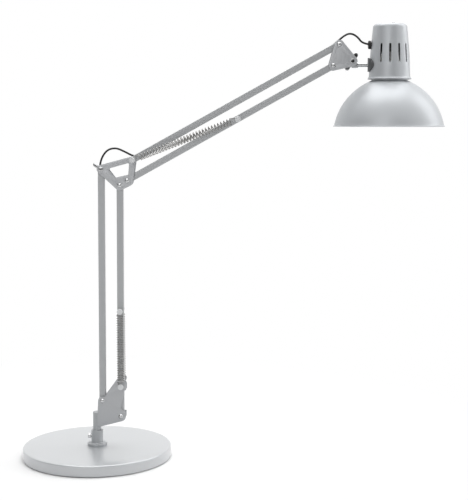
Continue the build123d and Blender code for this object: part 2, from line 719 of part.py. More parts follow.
# ---------------------------------------------------------------- knuckle and head bolt
KNUCKLE_R = KNUCKLE_D / 2
COLLAR_X = PIVOT_P3[0] + KNUCKLE_R
BOLT_INNER_X = PIVOT_P3[0] + 0.5
with BuildPart() as knuckle:
    with BuildSketch(front_plane(PLATE_IN - FACE_GAP)):
        with Locations(PIVOT_P3):
            Circle(KNUCKLE_R)
        with Locations((PIVOT_P3[0], BOLT_Z)):
            Rectangle(KNUCKLE_R, COLLAR_D, align=(Align.MIN, Align.CENTER))
    extrude(amount=2 * (PLATE_IN - FACE_GAP))
    with BuildSketch(front_plane(PLATE_IN)):
        with Locations(PIVOT_P3):
            Circle(HOLE_R)
    extrude(amount=2 * PLATE_IN, mode=Mode.SUBTRACT)
    with BuildSketch(Plane.YZ.offset(BOLT_INNER_X)):
        with Locations((0, BOLT_Z)):
            Circle(HEAD_BOLT_D / 2)
    extrude(amount=KNUCKLE_D, mode=Mode.SUBTRACT)
save(knuckle, "tilt_knuckle")


def cap_radius(z, inset=0.0):
    """Radius of the cap's side wall at a height."""
    start, middle, end = CAP_FOOT_R, CAP_MID_R, CAP_TOP_R
    share = (z - CAP_FOOT) / (CAP_TOP - CAP_FOOT)
    bow = 4 * (middle - (start + end) / 2)
    return start + (end - start) * share + bow * share * (1 - share) - inset


SADDLE_SEAT_R = cap_radius(BOLT_Z - SADDLE_H / 2) + 0.05
INNER_SADDLE_R = cap_radius(BOLT_Z + 8.0, CAP_WALL) - 0.05
NUT_SEAT_X = HEAD_X - INNER_SADDLE_R + INNER_SADDLE_T + 0.6
BOLT_TIP_X = NUT_SEAT_X + HEAD_NUT_T + 1.0

with BuildPart() as head_bolt:
    with BuildSketch(Plane.YZ.offset(BOLT_INNER_X)):
        with Locations((0, BOLT_Z)):
            Circle(HEAD_BOLT_D / 2)
    extrude(amount=BOLT_TIP_X - BOLT_INNER_X)
    chamfer(head_bolt.edges().sort_by(Axis.X)[-1], 0.5)
    with BuildSketch(Plane.YZ.offset(COLLAR_X)):
        with Locations((0, BOLT_Z)):
            Circle(COLLAR_D / 2)
    extrude(amount=COLLAR_T)
save(head_bolt, "head_bolt")


# ---------------------------------------------------------------- cap of the head
def cap_profile(inset):
    """Half section of the cap's outside, or of its inside when inset by the wall."""
    top = CAP_TOP - inset
    foot = CAP_FOOT - (1 if inset else 0)
    middle = (CAP_TOP + CAP_FOOT) / 2
    with BuildSketch(HEAD_AXIS) as profile:
        with BuildLine():
            Line((0, foot), (cap_radius(foot, inset), foot))
            ThreePointArc((cap_radius(foot, inset), foot), (cap_radius(middle, inset), middle),
                          (cap_radius(top, inset), top))
            Line((cap_radius(top, inset), top), (0, top))
            Line((0, top), (0, foot))
        make_face()
        corner = profile.vertices().sort_by(Axis.Y)[-2:].sort_by(Axis.X)[-1]
        fillet(corner, CAP_SHOULDER - inset)
    return profile.sketch


def head_section(points):
    """A closed half section beside the head's own upright axis."""
    with BuildSketch(HEAD_AXIS) as section:
        with BuildLine():
            Polyline(*points, close=True)
        make_face()
    return section.sketch


HEAD_Z = Axis((HEAD_X, 0, 0), (0, 0, 1))
with BuildPart() as lamp_cap:
    revolve(cap_profile(0), axis=HEAD_Z)
    revolve(head_section([
        (CAP_FOOT_R - CAP_WALL - 0.2, CAP_FOOT),
        (CAP_LIP_R, CAP_FOOT),
        (CAP_LIP_R, CAP_FOOT + CAP_LIP_T),
        (cap_radius(CAP_FOOT + CAP_LIP_H) - 0.05, CAP_FOOT + CAP_LIP_H),
        (CAP_FOOT_R - CAP_WALL - 0.2, CAP_FOOT + CAP_LIP_H),
    ]), axis=HEAD_Z)
    revolve(cap_profile(CAP_WALL), axis=HEAD_Z, mode=Mode.SUBTRACT)
    for k in range(SLOT_COUNT):
        turn = (k - (SLOT_COUNT - 1) / 2) * SLOT_STEP
        slot_plane = Plane(origin=(HEAD_X, 0, BOLT_Z + SLOT_ABOVE_BOLT),
                           x_dir=(-sin(radians(turn)), cos(radians(turn)), 0),
                           z_dir=(cos(radians(turn)), sin(radians(turn)), 0))
        with BuildSketch(slot_plane.offset(CAP_TOP_R / 2)):
            SlotOverall(SLOT_H, SLOT_W, rotation=90)
        extrude(amount=CAP_FOOT_R, mode=Mode.SUBTRACT)
    with BuildSketch(Plane.YZ.offset(HEAD_X - CAP_LIP_R - 5)):
        with Locations((0, BOLT_Z)):
            Circle(HEAD_BOLT_D / 2 + FIT)
        with Locations((0, GROMMET_Z)):
            Circle(GROMMET_NECK_D / 2 + FIT)
    extrude(amount=CAP_LIP_R - 5, mode=Mode.SUBTRACT)
    with BuildSketch(Plane.XY.offset(CAP_TOP - 2 * CAP_WALL)):
        with Locations((HEAD_X, 0)):
            with PolarLocations(HOLDER_SCREW_PCD / 2, 3, start_angle=HOLDER_SCREW_TURN):
                Circle(HOLDER_SCREW_D / 2 + FIT)
    extrude(amount=3 * CAP_WALL, mode=Mode.SUBTRACT)
save(lamp_cap, "lamp_cap")


def saddle(out_from, out_to, width, height, name):
    """A curved washer that follows the cap's wall, with an oval outline and a bolt hole."""
    with BuildPart() as washer:
        with BuildSketch(Plane.XY.offset(BOLT_Z - height / 2)):
            with Locations((HEAD_X, 0)):
                Circle(out_to)
                Circle(out_from, mode=Mode.SUBTRACT)
        extrude(amount=height)
        with BuildSketch(Plane.YZ.offset(HEAD_X - CAP_LIP_R - 10)):
            with Locations((0, BOLT_Z)):
                Ellipse(width / 2, height / 2)
                Circle(HEAD_BOLT_D / 2 + FIT, mode=Mode.SUBTRACT)
        extrude(amount=CAP_LIP_R, mode=Mode.INTERSECT)
    save(washer, name)


saddle(SADDLE_SEAT_R, SADDLE_SEAT_R + SADDLE_T - 0.4, SADDLE_W, SADDLE_H, "saddle_washer")
saddle(INNER_SADDLE_R - INNER_SADDLE_T, INNER_SADDLE_R, 16.0, 16.0, "inner_saddle_washer")

with BuildPart() as head_nut:
    with BuildSketch(Plane.YZ.offset(NUT_SEAT_X)):
        with Locations((0, BOLT_Z)):
            RegularPolygon(HEAD_NUT_AF / 2, 6, major_radius=False)
            Circle(HEAD_BOLT_D / 2 + FIT, mode=Mode.SUBTRACT)
    extrude(amount=HEAD_NUT_T)
save(head_nut, "head_bolt_nut")

GROMMET_WALL_X = HEAD_X - cap_radius(GROMMET_Z - GROMMET_D / 2)
with BuildPart() as cord_grommet:
    with BuildSketch(Plane.YZ.offset(GROMMET_WALL_X - GROMMET_T)):
        with Locations((0, GROMMET_Z)):
            Circle(GROMMET_D / 2)
    extrude(amount=GROMMET_T - 0.1)
    fillet(cord_grommet.edges().sort_by(Axis.X)[0], 1.0)
    with BuildSketch(Plane.YZ.offset(GROMMET_WALL_X - GROMMET_T)):
        with Locations((0, GROMMET_Z)):
            Circle(GROMMET_NECK_D / 2)
    extrude(amount=GROMMET_T + 3.4)
    with BuildSketch(Plane.YZ.offset(GROMMET_WALL_X - 2 * GROMMET_T)):
        with Locations((0, GROMMET_Z)):
            Circle(LEAD_D / 2 + FIT)
    extrude(amount=4 * GROMMET_T, mode=Mode.SUBTRACT)
save(cord_grommet, "cord_grommet")

# ---------------------------------------------------------------- shade
SHADE_TOP = CAP_FOOT + SHADE_NECK_TOP
RING_Z = SHADE_TOP - CAP_RING_T
NECK_IN_R = SHADE_NECK_R - SHADE_WALL


def skin_profile(inset, neck_r, foot):
    """Half section inside the shade's outer skin, or inside its inner skin when inset."""
    rim = Vector(SHADE_R, SHADE_RIM)
    shoulder = Vector(SHADE_SHOULDER_R, SHADE_RIM + SHADE_SHOULDER_RISE)
    neck = Vector(SHADE_NECK_R, SHADE_RIM + SHADE_NECK_RISE)
    chord = shoulder - rim
    left = Vector(-chord.Y, chord.X).normalized()
    centre = (rim + shoulder) * 0.5 + left * sqrt(SHADE_SIDE_BEND ** 2 - chord.length ** 2 / 4)
    low, high = (degrees(atan2(end.Y - centre.Y, end.X - centre.X)) for end in (rim, shoulder))
    neck_turn = 2 * degrees(atan2(neck.Y - shoulder.Y, neck.X - shoulder.X)) - high - 180
    with BuildSketch(HEAD_AXIS) as profile:
        with BuildLine():
            side = CenterArc(centre, SHADE_SIDE_BEND - inset, low, high - low)
            neck_in = neck - Vector(inset, 0).rotate(Axis.Z, neck_turn)
            top = TangentArc(side @ 1, neck_in, tangent=side % 1)
            Polyline(top @ 1, (neck_r, (top @ 1).Y + 0.2), (neck_r, SHADE_TOP), (0, SHADE_TOP),
                     (0, foot), ((side @ 0).X, foot))
            if (side @ 0).Y > foot + 0.001:
                Line(((side @ 0).X, foot), side @ 0)
        make_face()
    return profile.sketch


with BuildPart() as shade:
    revolve(skin_profile(0, SHADE_NECK_R, SHADE_RIM), axis=HEAD_Z)
    revolve(head_section([
        (SHADE_R - 3, SHADE_RIM),
        (SHADE_RIM_R, SHADE_RIM),
        (SHADE_RIM_R, SHADE_RIM + SHADE_RIM_T),
        (SHADE_R - 3, SHADE_RIM + SHADE_RIM_T),
    ]), axis=HEAD_Z)
    revolve(head_section([
        (NECK_IN_R, SHADE_TOP),
        (SHADE_FLANGE_R, SHADE_TOP),
        (SHADE_FLANGE_R, SHADE_TOP + SHADE_WALL),
        (NECK_IN_R, SHADE_TOP + SHADE_WALL),
    ]), axis=HEAD_Z)
    revolve(skin_profile(SHADE_WALL, NECK_IN_R, SHADE_RIM - 2), axis=HEAD_Z, mode=Mode.SUBTRACT)
save(shade, "shade")

with BuildPart() as cap_ring:
    revolve(head_section([
        (SHADE_NECK_R + NECK_RING_FIT, RING_Z),
        (cap_radius(RING_Z, CAP_WALL + CAP_RING_FIT), RING_Z),
        (cap_radius(SHADE_TOP, CAP_WALL + CAP_RING_FIT), SHADE_TOP),
        (SHADE_NECK_R + NECK_RING_FIT, SHADE_TOP),
    ]), axis=HEAD_Z)
save(cap_ring, "shade_carrier_ring")

# ---------------------------------------------------------------- lamp holder and bulb
HOLDER_FOOT = BOLT_Z + HOLDER_ABOVE_BOLT
HOLDER_TOP = HOLDER_FOOT + HOLDER_H
HOLDER_FLOOR = HOLDER_TOP - 2.0
SOCKET_SEAT = HOLDER_TOP + HOLDER_DOME_H
with BuildPart() as lamp_holder:
    revolve(head_section([
        (0, HOLDER_FOOT), (HOLDER_D / 2, HOLDER_FOOT), (HOLDER_D / 2, HOLDER_TOP),
        (HOLDER_DOME_D / 2 + 2, SOCKET_SEAT), (0, SOCKET_SEAT),
    ]), axis=HEAD_Z)
    with BuildSketch(Plane.XY.offset(HOLDER_FOOT)):
        with Locations((HEAD_X, 0)):
            Circle(HOLDER_BORE_D / 2)
    extrude(amount=HOLDER_FLOOR - HOLDER_FOOT, mode=Mode.SUBTRACT)
    with BuildSketch(Plane.XY.offset(SOCKET_SEAT)):
        with Locations((HEAD_X, 0)):
            with PolarLocations(HOLDER_SCREW_PCD / 2, 3, start_angle=HOLDER_SCREW_TURN):
                Circle(HOLDER_SCREW_D / 2 + 1.4)
    extrude(amount=CAP_TOP - CAP_WALL - SOCKET_SEAT)
    with BuildSketch(Plane.XY.offset(CAP_TOP)):
        with Locations((HEAD_X, 0)):
            with PolarLocations(HOLDER_SCREW_PCD / 2, 3, start_angle=HOLDER_SCREW_TURN):
                Circle(HOLDER_SCREW_D / 2 + FIT)
    extrude(amount=SOCKET_SEAT - CAP_TOP - 6, mode=Mode.SUBTRACT)
    with BuildSketch(Plane.YZ.offset(HEAD_X - HOLDER_D)):
        with Locations((0, GROMMET_Z)):
            Circle(LEAD_D / 2 + FIT)
    extrude(amount=HOLDER_D / 2 + HOLDER_LEAD_DEPTH, mode=Mode.SUBTRACT)
save(lamp_holder, "lamp_holder")

with BuildPart() as holder_screws:
    with Locations((HEAD_X, 0, CAP_TOP)):
        with PolarLocations(HOLDER_SCREW_PCD / 2, 3, start_angle=HOLDER_SCREW_TURN):
            Cylinder(HOLDER_SCREW_HEAD_D / 2, HOLDER_SCREW_HEAD_H,
                     align=(Align.CENTER, Align.CENTER, Align.MIN))
            Cylinder(HOLDER_SCREW_D / 2, CAP_TOP - SOCKET_SEAT + 5,
                     align=(Align.CENTER, Align.CENTER, Align.MAX))
    fillet(holder_screws.edges().filter_by(GeomType.CIRCLE).group_by(Axis.Z)[-1], 0.9)
save(holder_screws, "holder_screws")

with BuildPart() as bulb_cap:
    with BuildSketch(Plane.XY.offset(HOLDER_FLOOR - 0.3)):
        with Locations((HEAD_X, 0)):
            Circle(BULB_CAP_D / 2)
    extrude(amount=-BULB_CAP_H)
    chamfer(bulb_cap.edges().sort_by(Axis.Z)[-1], 3.0)
save(bulb_cap, "bulb_cap")

BULB_NECK_Z = HOLDER_FLOOR - 0.3 - BULB_CAP_H
BULB_TIP_Z = HOLDER_FLOOR - BULB_LENGTH
BULB_MID_Z = BULB_TIP_Z + BULB_D / 2
with BuildPart() as bulb_glass:
    with BuildSketch(HEAD_AXIS):
        with BuildLine():
            widest = (BULB_D / 2, BULB_MID_Z)
            bowl = CenterArc((0, BULB_MID_Z), BULB_D / 2, -90, 120)
            Spline(bowl @ 1, (BULB_NECK_D / 2, BULB_NECK_Z), tangents=(bowl % 1, (0, 1)))
            Polyline((BULB_NECK_D / 2, BULB_NECK_Z), (0, BULB_NECK_Z), bowl @ 0)
        make_face()
    revolve(axis=HEAD_Z)
save(bulb_glass, "bulb_glass")


# ---------------------------------------------------------------- lead
def lead(points, name, straight=()):
    """A tube along straight runs joined by arcs as large as the runs allow."""
    runs = [Vector(*b) - Vector(*a) for a, b in zip(points, points[1:])]
    radii = []
    for before, after in zip(runs, runs[1:]):
        half_turn = radians(before.get_angle(after)) / 2
        radii.append(0.45 * min(before.length, after.length) / tan(half_turn))
    with BuildPart() as tube:
        with BuildLine() as path:
            if radii:
                FilletPolyline(*points, radius=radii)
            else:
                Line(*points)
        route = path.wire()
        with BuildSketch(Plane(origin=route @ 0, z_dir=route % 0)):
            Circle(LEAD_D / 2)
        sweep()
    save(tube, name)
    filled = tube.part.volume / (pi * LEAD_D ** 2 / 4 * route.length)
    print(name, "length", round(route.length, 1), "volume share", round(filled, 4),
          "radii", [round(r, 1) for r in radii])


def in_rod(foot, angle, along):
    """A point on the lead's line inside a main rod."""
    return at(off_rod(foot, angle, along, LEAD_SIDE))


LEAD_FOOT = LEAD_END + LEAD_BUSH_H
lead([in_rod(PIVOT_A, LOWER_REST, LEAD_FOOT), in_rod(PIVOT_A, LOWER_REST, LOWER_SPAN - LEAD_END)],
     "lead_in_lower_rod")
lead([in_rod(PIVOT_E, UPPER_REST, 2 * LEAD_END), in_rod(PIVOT_E, UPPER_REST, UPPER_SPAN - 2 * LEAD_END)],
     "lead_in_upper_rod")

lead([
    in_rod(PIVOT_A, LOWER_REST, LOWER_SPAN - LEAD_END),
    in_rod(PIVOT_A, LOWER_REST, LOWER_SPAN + 4.0),
    at((PIVOT_C[0] + 1.3, PIVOT_C[1] + 18.6)),
    at((PIVOT_C[0] + 9.8, PIVOT_C[1] + 29.4)),
    at((PIVOT_C[0] + 22.3, PIVOT_C[1] + 32.1)),
    at((PIVOT_C[0] + 34.3, PIVOT_C[1] + 27.1)),
    at((PIVOT_C[0] + 47.8, PIVOT_C[1] + 19.9)),
    in_rod(PIVOT_E, UPPER_REST, 7.0),
    in_rod(PIVOT_E, UPPER_REST, 2 * LEAD_END),
], "lead_elbow_loop")

GROMMET_FACE_X = GROMMET_WALL_X - GROMMET_T
lead([
    in_rod(PIVOT_E, UPPER_REST, UPPER_SPAN - 2 * LEAD_END),
    in_rod(PIVOT_E, UPPER_REST, UPPER_SPAN - 9.0),
    at((PIVOT_P1[0] + 5.4, PIVOT_P1[1] + 11.9)),
    at((PIVOT_P1[0] + 15.9, PIVOT_P1[1] + 17.3)),
    at((PIVOT_P1[0] + 26.9, PIVOT_P1[1] + 12.7)),
    at((GROMMET_FACE_X - 7.0, GROMMET_Z)),
    at((HEAD_X - HOLDER_D / 2 + HOLDER_LEAD_DEPTH, GROMMET_Z)),
], "lead_head_loop")

with BuildPart() as lead_bush:
    bore = ROD - 2 * ROD_WALL
    bush_plane = Plane(origin=at(polar(PIVOT_A, LEAD_END, LOWER_REST)), x_dir=(0, 1, 0),
                       z_dir=(cos(radians(LOWER_REST)), 0, sin(radians(LOWER_REST))))
    with BuildSketch(bush_plane):
        Rectangle(bore - 0.2, bore - 0.2)
    extrude(amount=LEAD_BUSH_H)
save(lead_bush, "lead_bush")
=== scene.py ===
"""Looks of the spring balanced desk lamp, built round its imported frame.

Metres. +Z is up, +X points from the base towards the lamp head and -Y is the front.
"""

import json
import logging
from collections.abc import Iterable, Sequence
from dataclasses import dataclass, field
from enum import Enum
from math import asin, atan2, copysign, cos, degrees, hypot, radians, sin, sqrt, tau

import bpy
from mathutils import Matrix, Vector


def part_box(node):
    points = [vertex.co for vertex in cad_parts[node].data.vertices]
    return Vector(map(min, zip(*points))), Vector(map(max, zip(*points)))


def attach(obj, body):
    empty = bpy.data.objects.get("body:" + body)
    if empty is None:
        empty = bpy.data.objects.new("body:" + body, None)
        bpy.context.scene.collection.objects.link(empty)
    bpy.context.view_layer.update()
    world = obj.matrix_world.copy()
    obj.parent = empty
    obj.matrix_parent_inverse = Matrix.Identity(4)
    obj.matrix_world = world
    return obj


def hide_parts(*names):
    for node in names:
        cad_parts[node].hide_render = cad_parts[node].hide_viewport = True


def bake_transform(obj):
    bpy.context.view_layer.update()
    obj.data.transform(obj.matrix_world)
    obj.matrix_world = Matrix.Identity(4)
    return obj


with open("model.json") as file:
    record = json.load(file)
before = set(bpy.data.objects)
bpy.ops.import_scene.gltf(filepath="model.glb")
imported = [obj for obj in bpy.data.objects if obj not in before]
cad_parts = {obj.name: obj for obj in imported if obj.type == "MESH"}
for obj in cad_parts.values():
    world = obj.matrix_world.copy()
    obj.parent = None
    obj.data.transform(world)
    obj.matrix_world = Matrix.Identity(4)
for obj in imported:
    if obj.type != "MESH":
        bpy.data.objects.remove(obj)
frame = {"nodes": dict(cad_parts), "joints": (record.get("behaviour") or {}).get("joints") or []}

Piece = bpy.types.Object
Rings = list[tuple[float, float]]  # (radius, height) along a turned surface
LOG = logging.getLogger("desk_lamp")
MM = 0.001
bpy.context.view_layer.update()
WELD = 1e-6  # points closer than this are one point
TINY = 1e-7  # a coordinate under this is on the middle plane


# ---- places taken from the frame
JOINT = {joint["name"]: Vector(joint["pos_m"]) for joint in frame["joints"]}


def node_centre(node: str) -> Vector:
    """Middle of a CAD node's box."""
    low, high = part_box(node)
    return (low + high) / 2


def in_plane(point: Vector, y: float = 0.0) -> Vector:
    """The same place in the arms' plane, at a given depth."""
    return Vector((point.x, y, point.z))


PIVOT_A = JOINT["lower_arm"]
PIVOT_B = JOINT["lower_tie"]
PIVOT_C = JOINT["elbow_level"]
PIVOT_E = JOINT["upper_arm"]
PIVOT_F = JOINT["upper_tie"]
PIVOT_P1 = JOINT["head_level"]
PIVOT_P3 = JOINT["head_tilt"]
PIVOT_D = PIVOT_C + PIVOT_B - PIVOT_A
PIVOT_P2 = PIVOT_P1 + PIVOT_F - PIVOT_E
PEG_H = in_plane(node_centre("stem_peg_cap"))
PEG_I = in_plane(node_centre("lower_spring_pin"))
PEG_G = in_plane(node_centre("upper_spring_pin"))
HEAD_X = node_centre("shade").x
BOLT_Z = JOINT["head_spin"].z
PLATE_OUT = -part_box("elbow_plate_front")[0].y


# ---- finishes
class Surface(Enum):
    """The kinds of surface that a finish can have."""

    PAINT = "paint"
    METAL = "metal"
    PLASTIC = "plastic"
    GLASS = "glass"


@dataclass(frozen=True)
class Finish:
    """How one material slot of the lamp looks.

    Args:
        slot: the record's material slot.
        surface: the kind of surface.
        colour: linear base colour.
        roughness: mean roughness.
        spread: how far the roughness wanders either way.
        grain_scale: grains per metre.
        grain_depth: height of the grain in metres.
        metallic: share of metal in the surface.
        coat: weight of the clear coat.
    """

    slot: str
    surface: Surface
    colour: tuple[float, float, float]
    roughness: float = 0.4
    spread: float = 0.04
    grain_scale: float = 700.0
    grain_depth: float = 0.00002
    metallic: float = 0.0
    coat: float = 0.0


FINISHES = {
    finish.slot: finish
    for finish in (
        Finish("base_paint", Surface.PAINT, (0.55, 0.565, 0.58), 0.34, metallic=0.3, coat=0.7),
        Finish("rod_paint", Surface.PAINT, (0.45, 0.46, 0.47), 0.40, metallic=0.2, coat=0.05),
        Finish("plate_paint", Surface.PAINT, (0.49, 0.50, 0.515), 0.40, metallic=0.2, coat=0.05),
        Finish("head_paint", Surface.PAINT, (0.50, 0.52, 0.54), 0.42, metallic=0.25, coat=0.05),
        Finish("socket_paint", Surface.PAINT, (0.46, 0.475, 0.49), 0.38, metallic=0.3, coat=0.05),
        Finish("knuckle_metal", Surface.METAL, (0.40, 0.41, 0.42), 0.34, metallic=0.8),
        Finish("bright_steel", Surface.METAL, (0.55, 0.555, 0.56), 0.16, 0.05, metallic=1.0),
        Finish("zinc_steel", Surface.METAL, (0.45, 0.46, 0.47), 0.38, 0.08, metallic=1.0),
        Finish("spring_steel", Surface.METAL, (0.27, 0.265, 0.255), 0.24, 0.06, metallic=1.0),
        Finish("cast_iron", Surface.METAL, (0.16, 0.16, 0.16), 0.75, 0.1, 400.0, 0.0002, 0.6),
        Finish("washer_nylon", Surface.PLASTIC, (0.70, 0.71, 0.72), 0.42),
        Finish("saddle_grey", Surface.PLASTIC, (0.075, 0.078, 0.082), 0.55),
        Finish("lead_black", Surface.PLASTIC, (0.004, 0.004, 0.004), 0.6),
        Finish("pad_felt", Surface.PLASTIC, (0.05, 0.05, 0.05), 0.9, 0.03, 1500.0, 0.0001),
        Finish("holder_black", Surface.PLASTIC, (0.015, 0.015, 0.015), 0.3),
        Finish("bulb_glass", Surface.GLASS, (0.95, 0.95, 0.93), 0.35),
    )
}


BROAD_SCALE = 28.0  # patches per metre over which the roughness wanders
BROAD_DETAIL, FINE_DETAIL = 4.0, 3.0
COAT_ROUGHNESS = 0.2
FROSTED_SHARE, GLASS_IOR = 0.7, 1.45


def put(node: bpy.types.Node, values: dict[str, object]) -> None:
    """Set a node's own socket values."""
    for name, value in values.items():
        node.inputs[name].default_value = value


def combine(tree: bpy.types.NodeTree, operation: str, first: bpy.types.NodeSocket,
            second: bpy.types.NodeSocket) -> bpy.types.NodeSocket:
    """The socket that holds a maths operation on two others."""
    node = tree.nodes.new("ShaderNodeMath")
    node.operation = operation
    tree.links.new(first, node.inputs[0])
    tree.links.new(second, node.inputs[1])
    return node.outputs["Value"]


class FinishBook:
    """Makes each finish once and hands out its material."""

    def __init__(self) -> None:
        """Start with the shared grain group and no materials."""
        self.grain = self._grain_group()
        self.made: dict[str, bpy.types.Material] = {}

    @staticmethod
    def _grain_group() -> bpy.types.NodeTree:
        """A node group that turns object space into wandering roughness and a fine grain."""
        tree = bpy.data.node_groups.new("Fine grain", "ShaderNodeTree")
        for name in ("Scale", "Roughness", "Spread", "Depth"):
            tree.interface.new_socket(name, in_out="INPUT", socket_type="NodeSocketFloat")
        tree.interface.new_socket("Roughness", in_out="OUTPUT", socket_type="NodeSocketFloat")
        tree.interface.new_socket("Normal", in_out="OUTPUT", socket_type="NodeSocketVector")
        nodes, link = tree.nodes, tree.links.new
        given, result = nodes.new("NodeGroupInput"), nodes.new("NodeGroupOutput")
        place = nodes.new("ShaderNodeTexCoord")
        fine, broad = nodes.new("ShaderNodeTexNoise"), nodes.new("ShaderNodeTexNoise")
        put(fine, {"Detail": FINE_DETAIL})
        put(broad, {"Scale": BROAD_SCALE, "Detail": BROAD_DETAIL})
        spread = nodes.new("ShaderNodeMapRange")
        bump = nodes.new("ShaderNodeBump")
        for noise in (fine, broad):
            link(place.outputs["Object"], noise.inputs["Vector"])
        link(given.outputs["Scale"], fine.inputs["Scale"])
        link(broad.outputs["Fac"], spread.inputs["Value"])
        for operation, bound in (("SUBTRACT", "To Min"), ("ADD", "To Max")):
            limit = combine(tree, operation, given.outputs["Roughness"], given.outputs["Spread"])
            link(limit, spread.inputs[bound])
        link(given.outputs["Depth"], bump.inputs["Distance"])
        link(fine.outputs["Fac"], bump.inputs["Height"])
        link(spread.outputs["Result"], result.inputs["Roughness"])
        link(bump.outputs["Normal"], result.inputs["Normal"])
        return tree

    def material(self, slot: str) -> bpy.types.Material:
        """The material of one slot.

        Args:
            slot: the record's material slot.

        Returns:
            The material, made on its first use.
        """
        if slot not in self.made:
            self.made[slot] = self._make(FINISHES[slot])
        return self.made[slot]

    def _make(self, finish: Finish) -> bpy.types.Material:
        """Build the node tree of one finish."""
        material = bpy.data.materials.new(finish.slot)
        material.use_nodes = True
        nodes, links = material.node_tree.nodes, material.node_tree.links
        shader = nodes["Principled BSDF"]
        put(shader, {"Base Color": (*finish.colour, 1.0), "Metallic": finish.metallic,
                     "Coat Weight": finish.coat, "Coat Roughness": COAT_ROUGHNESS})
        if finish.surface is Surface.GLASS:
            put(shader, {"Roughness": finish.roughness, "Transmission Weight": FROSTED_SHARE,
                         "IOR": GLASS_IOR})
            return material
        grain = nodes.new("ShaderNodeGroup")
        grain.node_tree = self.grain
        put(grain, {"Scale": finish.grain_scale, "Roughness": finish.roughness,
                    "Spread": finish.spread, "Depth": finish.grain_depth})
        links.new(grain.outputs["Roughness"], shader.inputs["Roughness"])
        links.new(grain.outputs["Normal"], shader.inputs["Normal"])
        return material


# ---- modelling by hand
def deselect() -> None:
    """Go to object mode and select nothing."""
    if bpy.context.object and bpy.context.object.mode != "OBJECT":
        bpy.ops.object.mode_set(mode="OBJECT")
    bpy.ops.object.select_all(action="DESELECT")


def pick(piece: Piece) -> None:
    """Select one object only, and make it active."""
    deselect()
    piece.select_set(True)
    bpy.context.view_layer.objects.active = piece


def edit_all(piece: Piece, weld: float = 0.0) -> None:
    """Edit a piece with all of its points selected, with close points joined if asked."""
    pick(piece)
    bpy.ops.object.mode_set(mode="EDIT")
    bpy.ops.mesh.select_mode(type="VERT")
    bpy.ops.mesh.select_all(action="SELECT")
    if weld:
        bpy.ops.mesh.remove_doubles(threshold=weld)


def add(name: str, data: bpy.types.ID) -> Piece:
    """Put a new object that holds this data in the scene."""
    piece = bpy.data.objects.new(name, data)
    bpy.context.scene.collection.objects.link(piece)
    return piece


def settle(piece: Piece) -> Piece:
    """Apply the object's own place, turn and size to its mesh."""
    pick(piece)
    bpy.ops.object.transform_apply(location=True, rotation=True, scale=True)
    return piece


def move_to(piece: Piece, place: Matrix) -> Piece:
    """Carry a finished mesh to its place and apply it."""
    piece.matrix_world = place
    return settle(piece)


def smooth(piece: Piece, angle: float = 35.0) -> Piece:
    """Shade a piece smooth where its faces meet under an angle in degrees."""
    pick(piece)
    bpy.ops.object.shade_smooth_by_angle(angle=radians(angle))
    return piece


def soften(piece: Piece, width: float, segments: int = 2, angle: float = 40.0) -> Piece:
    """Round a piece's sharp edges with a bevel and apply it."""
    pick(piece)
    bevel = piece.modifiers.new("Edges", "BEVEL")
    bevel.width = width
    bevel.segments = segments
    bevel.limit_method = "ANGLE"
    bevel.angle_limit = radians(angle)
    bevel.use_clamp_overlap = True
    bevel.harden_normals = False
    bpy.ops.object.modifier_apply(modifier=bevel.name)
    return smooth(piece)


def mm(*pairs: tuple[float, float]) -> Rings:
    """Rings given in millimetres."""
    return [(radius * MM, height * MM) for radius, height in pairs]


def turned(name: str, rings: Rings, segments: int = 64, closed: bool = False) -> Piece:
    """Turn a shape about Z by extruding a circle from ring to ring.

    Args:
        name: the new object's name.
        rings: (radius, height) of each ring, in order along the surface. A zero radius is a pole.
        segments: points round each ring.
        closed: whether the last ring joins the first one.

    Returns:
        The turned object at the origin.
    """
    deselect()
    start_radius, start_height = rings[0]
    pole_start = start_radius == 0
    first = rings[1] if pole_start else rings[0]
    bpy.ops.mesh.primitive_circle_add(vertices=segments, radius=first[0], fill_type="NOTHING",
                                      location=(0, 0, first[1]))
    piece = bpy.context.object
    piece.name = name
    edit_all(settle(piece))
    if pole_start:
        bpy.ops.mesh.extrude_edges_move()
        bpy.ops.transform.translate(value=(0, 0, start_height - first[1]))
        bpy.ops.mesh.merge(type="CENTER")
        bpy.ops.object.mode_set(mode="OBJECT")
        for vertex in piece.data.vertices:
            vertex.select = hypot(vertex.co.x, vertex.co.y) > first[0] * 0.5
        bpy.ops.object.mode_set(mode="EDIT")
    radius, height = first
    for next_radius, next_height in rings[2 if pole_start else 1:]:
        bpy.ops.mesh.extrude_edges_move()
        if next_radius == 0:
            bpy.ops.transform.translate(value=(0, 0, next_height - height))
            bpy.ops.mesh.merge(type="CENTER")
            break
        share = next_radius / radius
        if share != 1:
            bpy.ops.transform.resize(value=(share, share, 1), center_override=(0, 0, height))
        bpy.ops.transform.translate(value=(0, 0, next_height - height))
        radius, height = next_radius, next_height
    bpy.ops.mesh.select_all(action="SELECT")
    if closed:
        bpy.ops.mesh.remove_doubles(threshold=TINY)
    bpy.ops.mesh.normals_make_consistent(inside=False)
    bpy.ops.object.mode_set(mode="OBJECT")
    return piece


def arc_rings(centre: tuple[float, float], radius: float, start: float, end: float,
              steps: int) -> Rings:
    """Rings along a round corner of a turned section.

    Args:
        centre: (radius, height) of the corner's own centre.
        radius: the corner's radius.
        start: first angle in degrees, from outwards towards up.
        end: last angle in degrees.
        steps: how many stretches to make.

    Returns:
        The rings from the first angle to the last.
    """
    angles = [radians(start + (end - start) * step / steps) for step in range(steps + 1)]
    return [(centre[0] + radius * cos(a), centre[1] + radius * sin(a)) for a in angles]


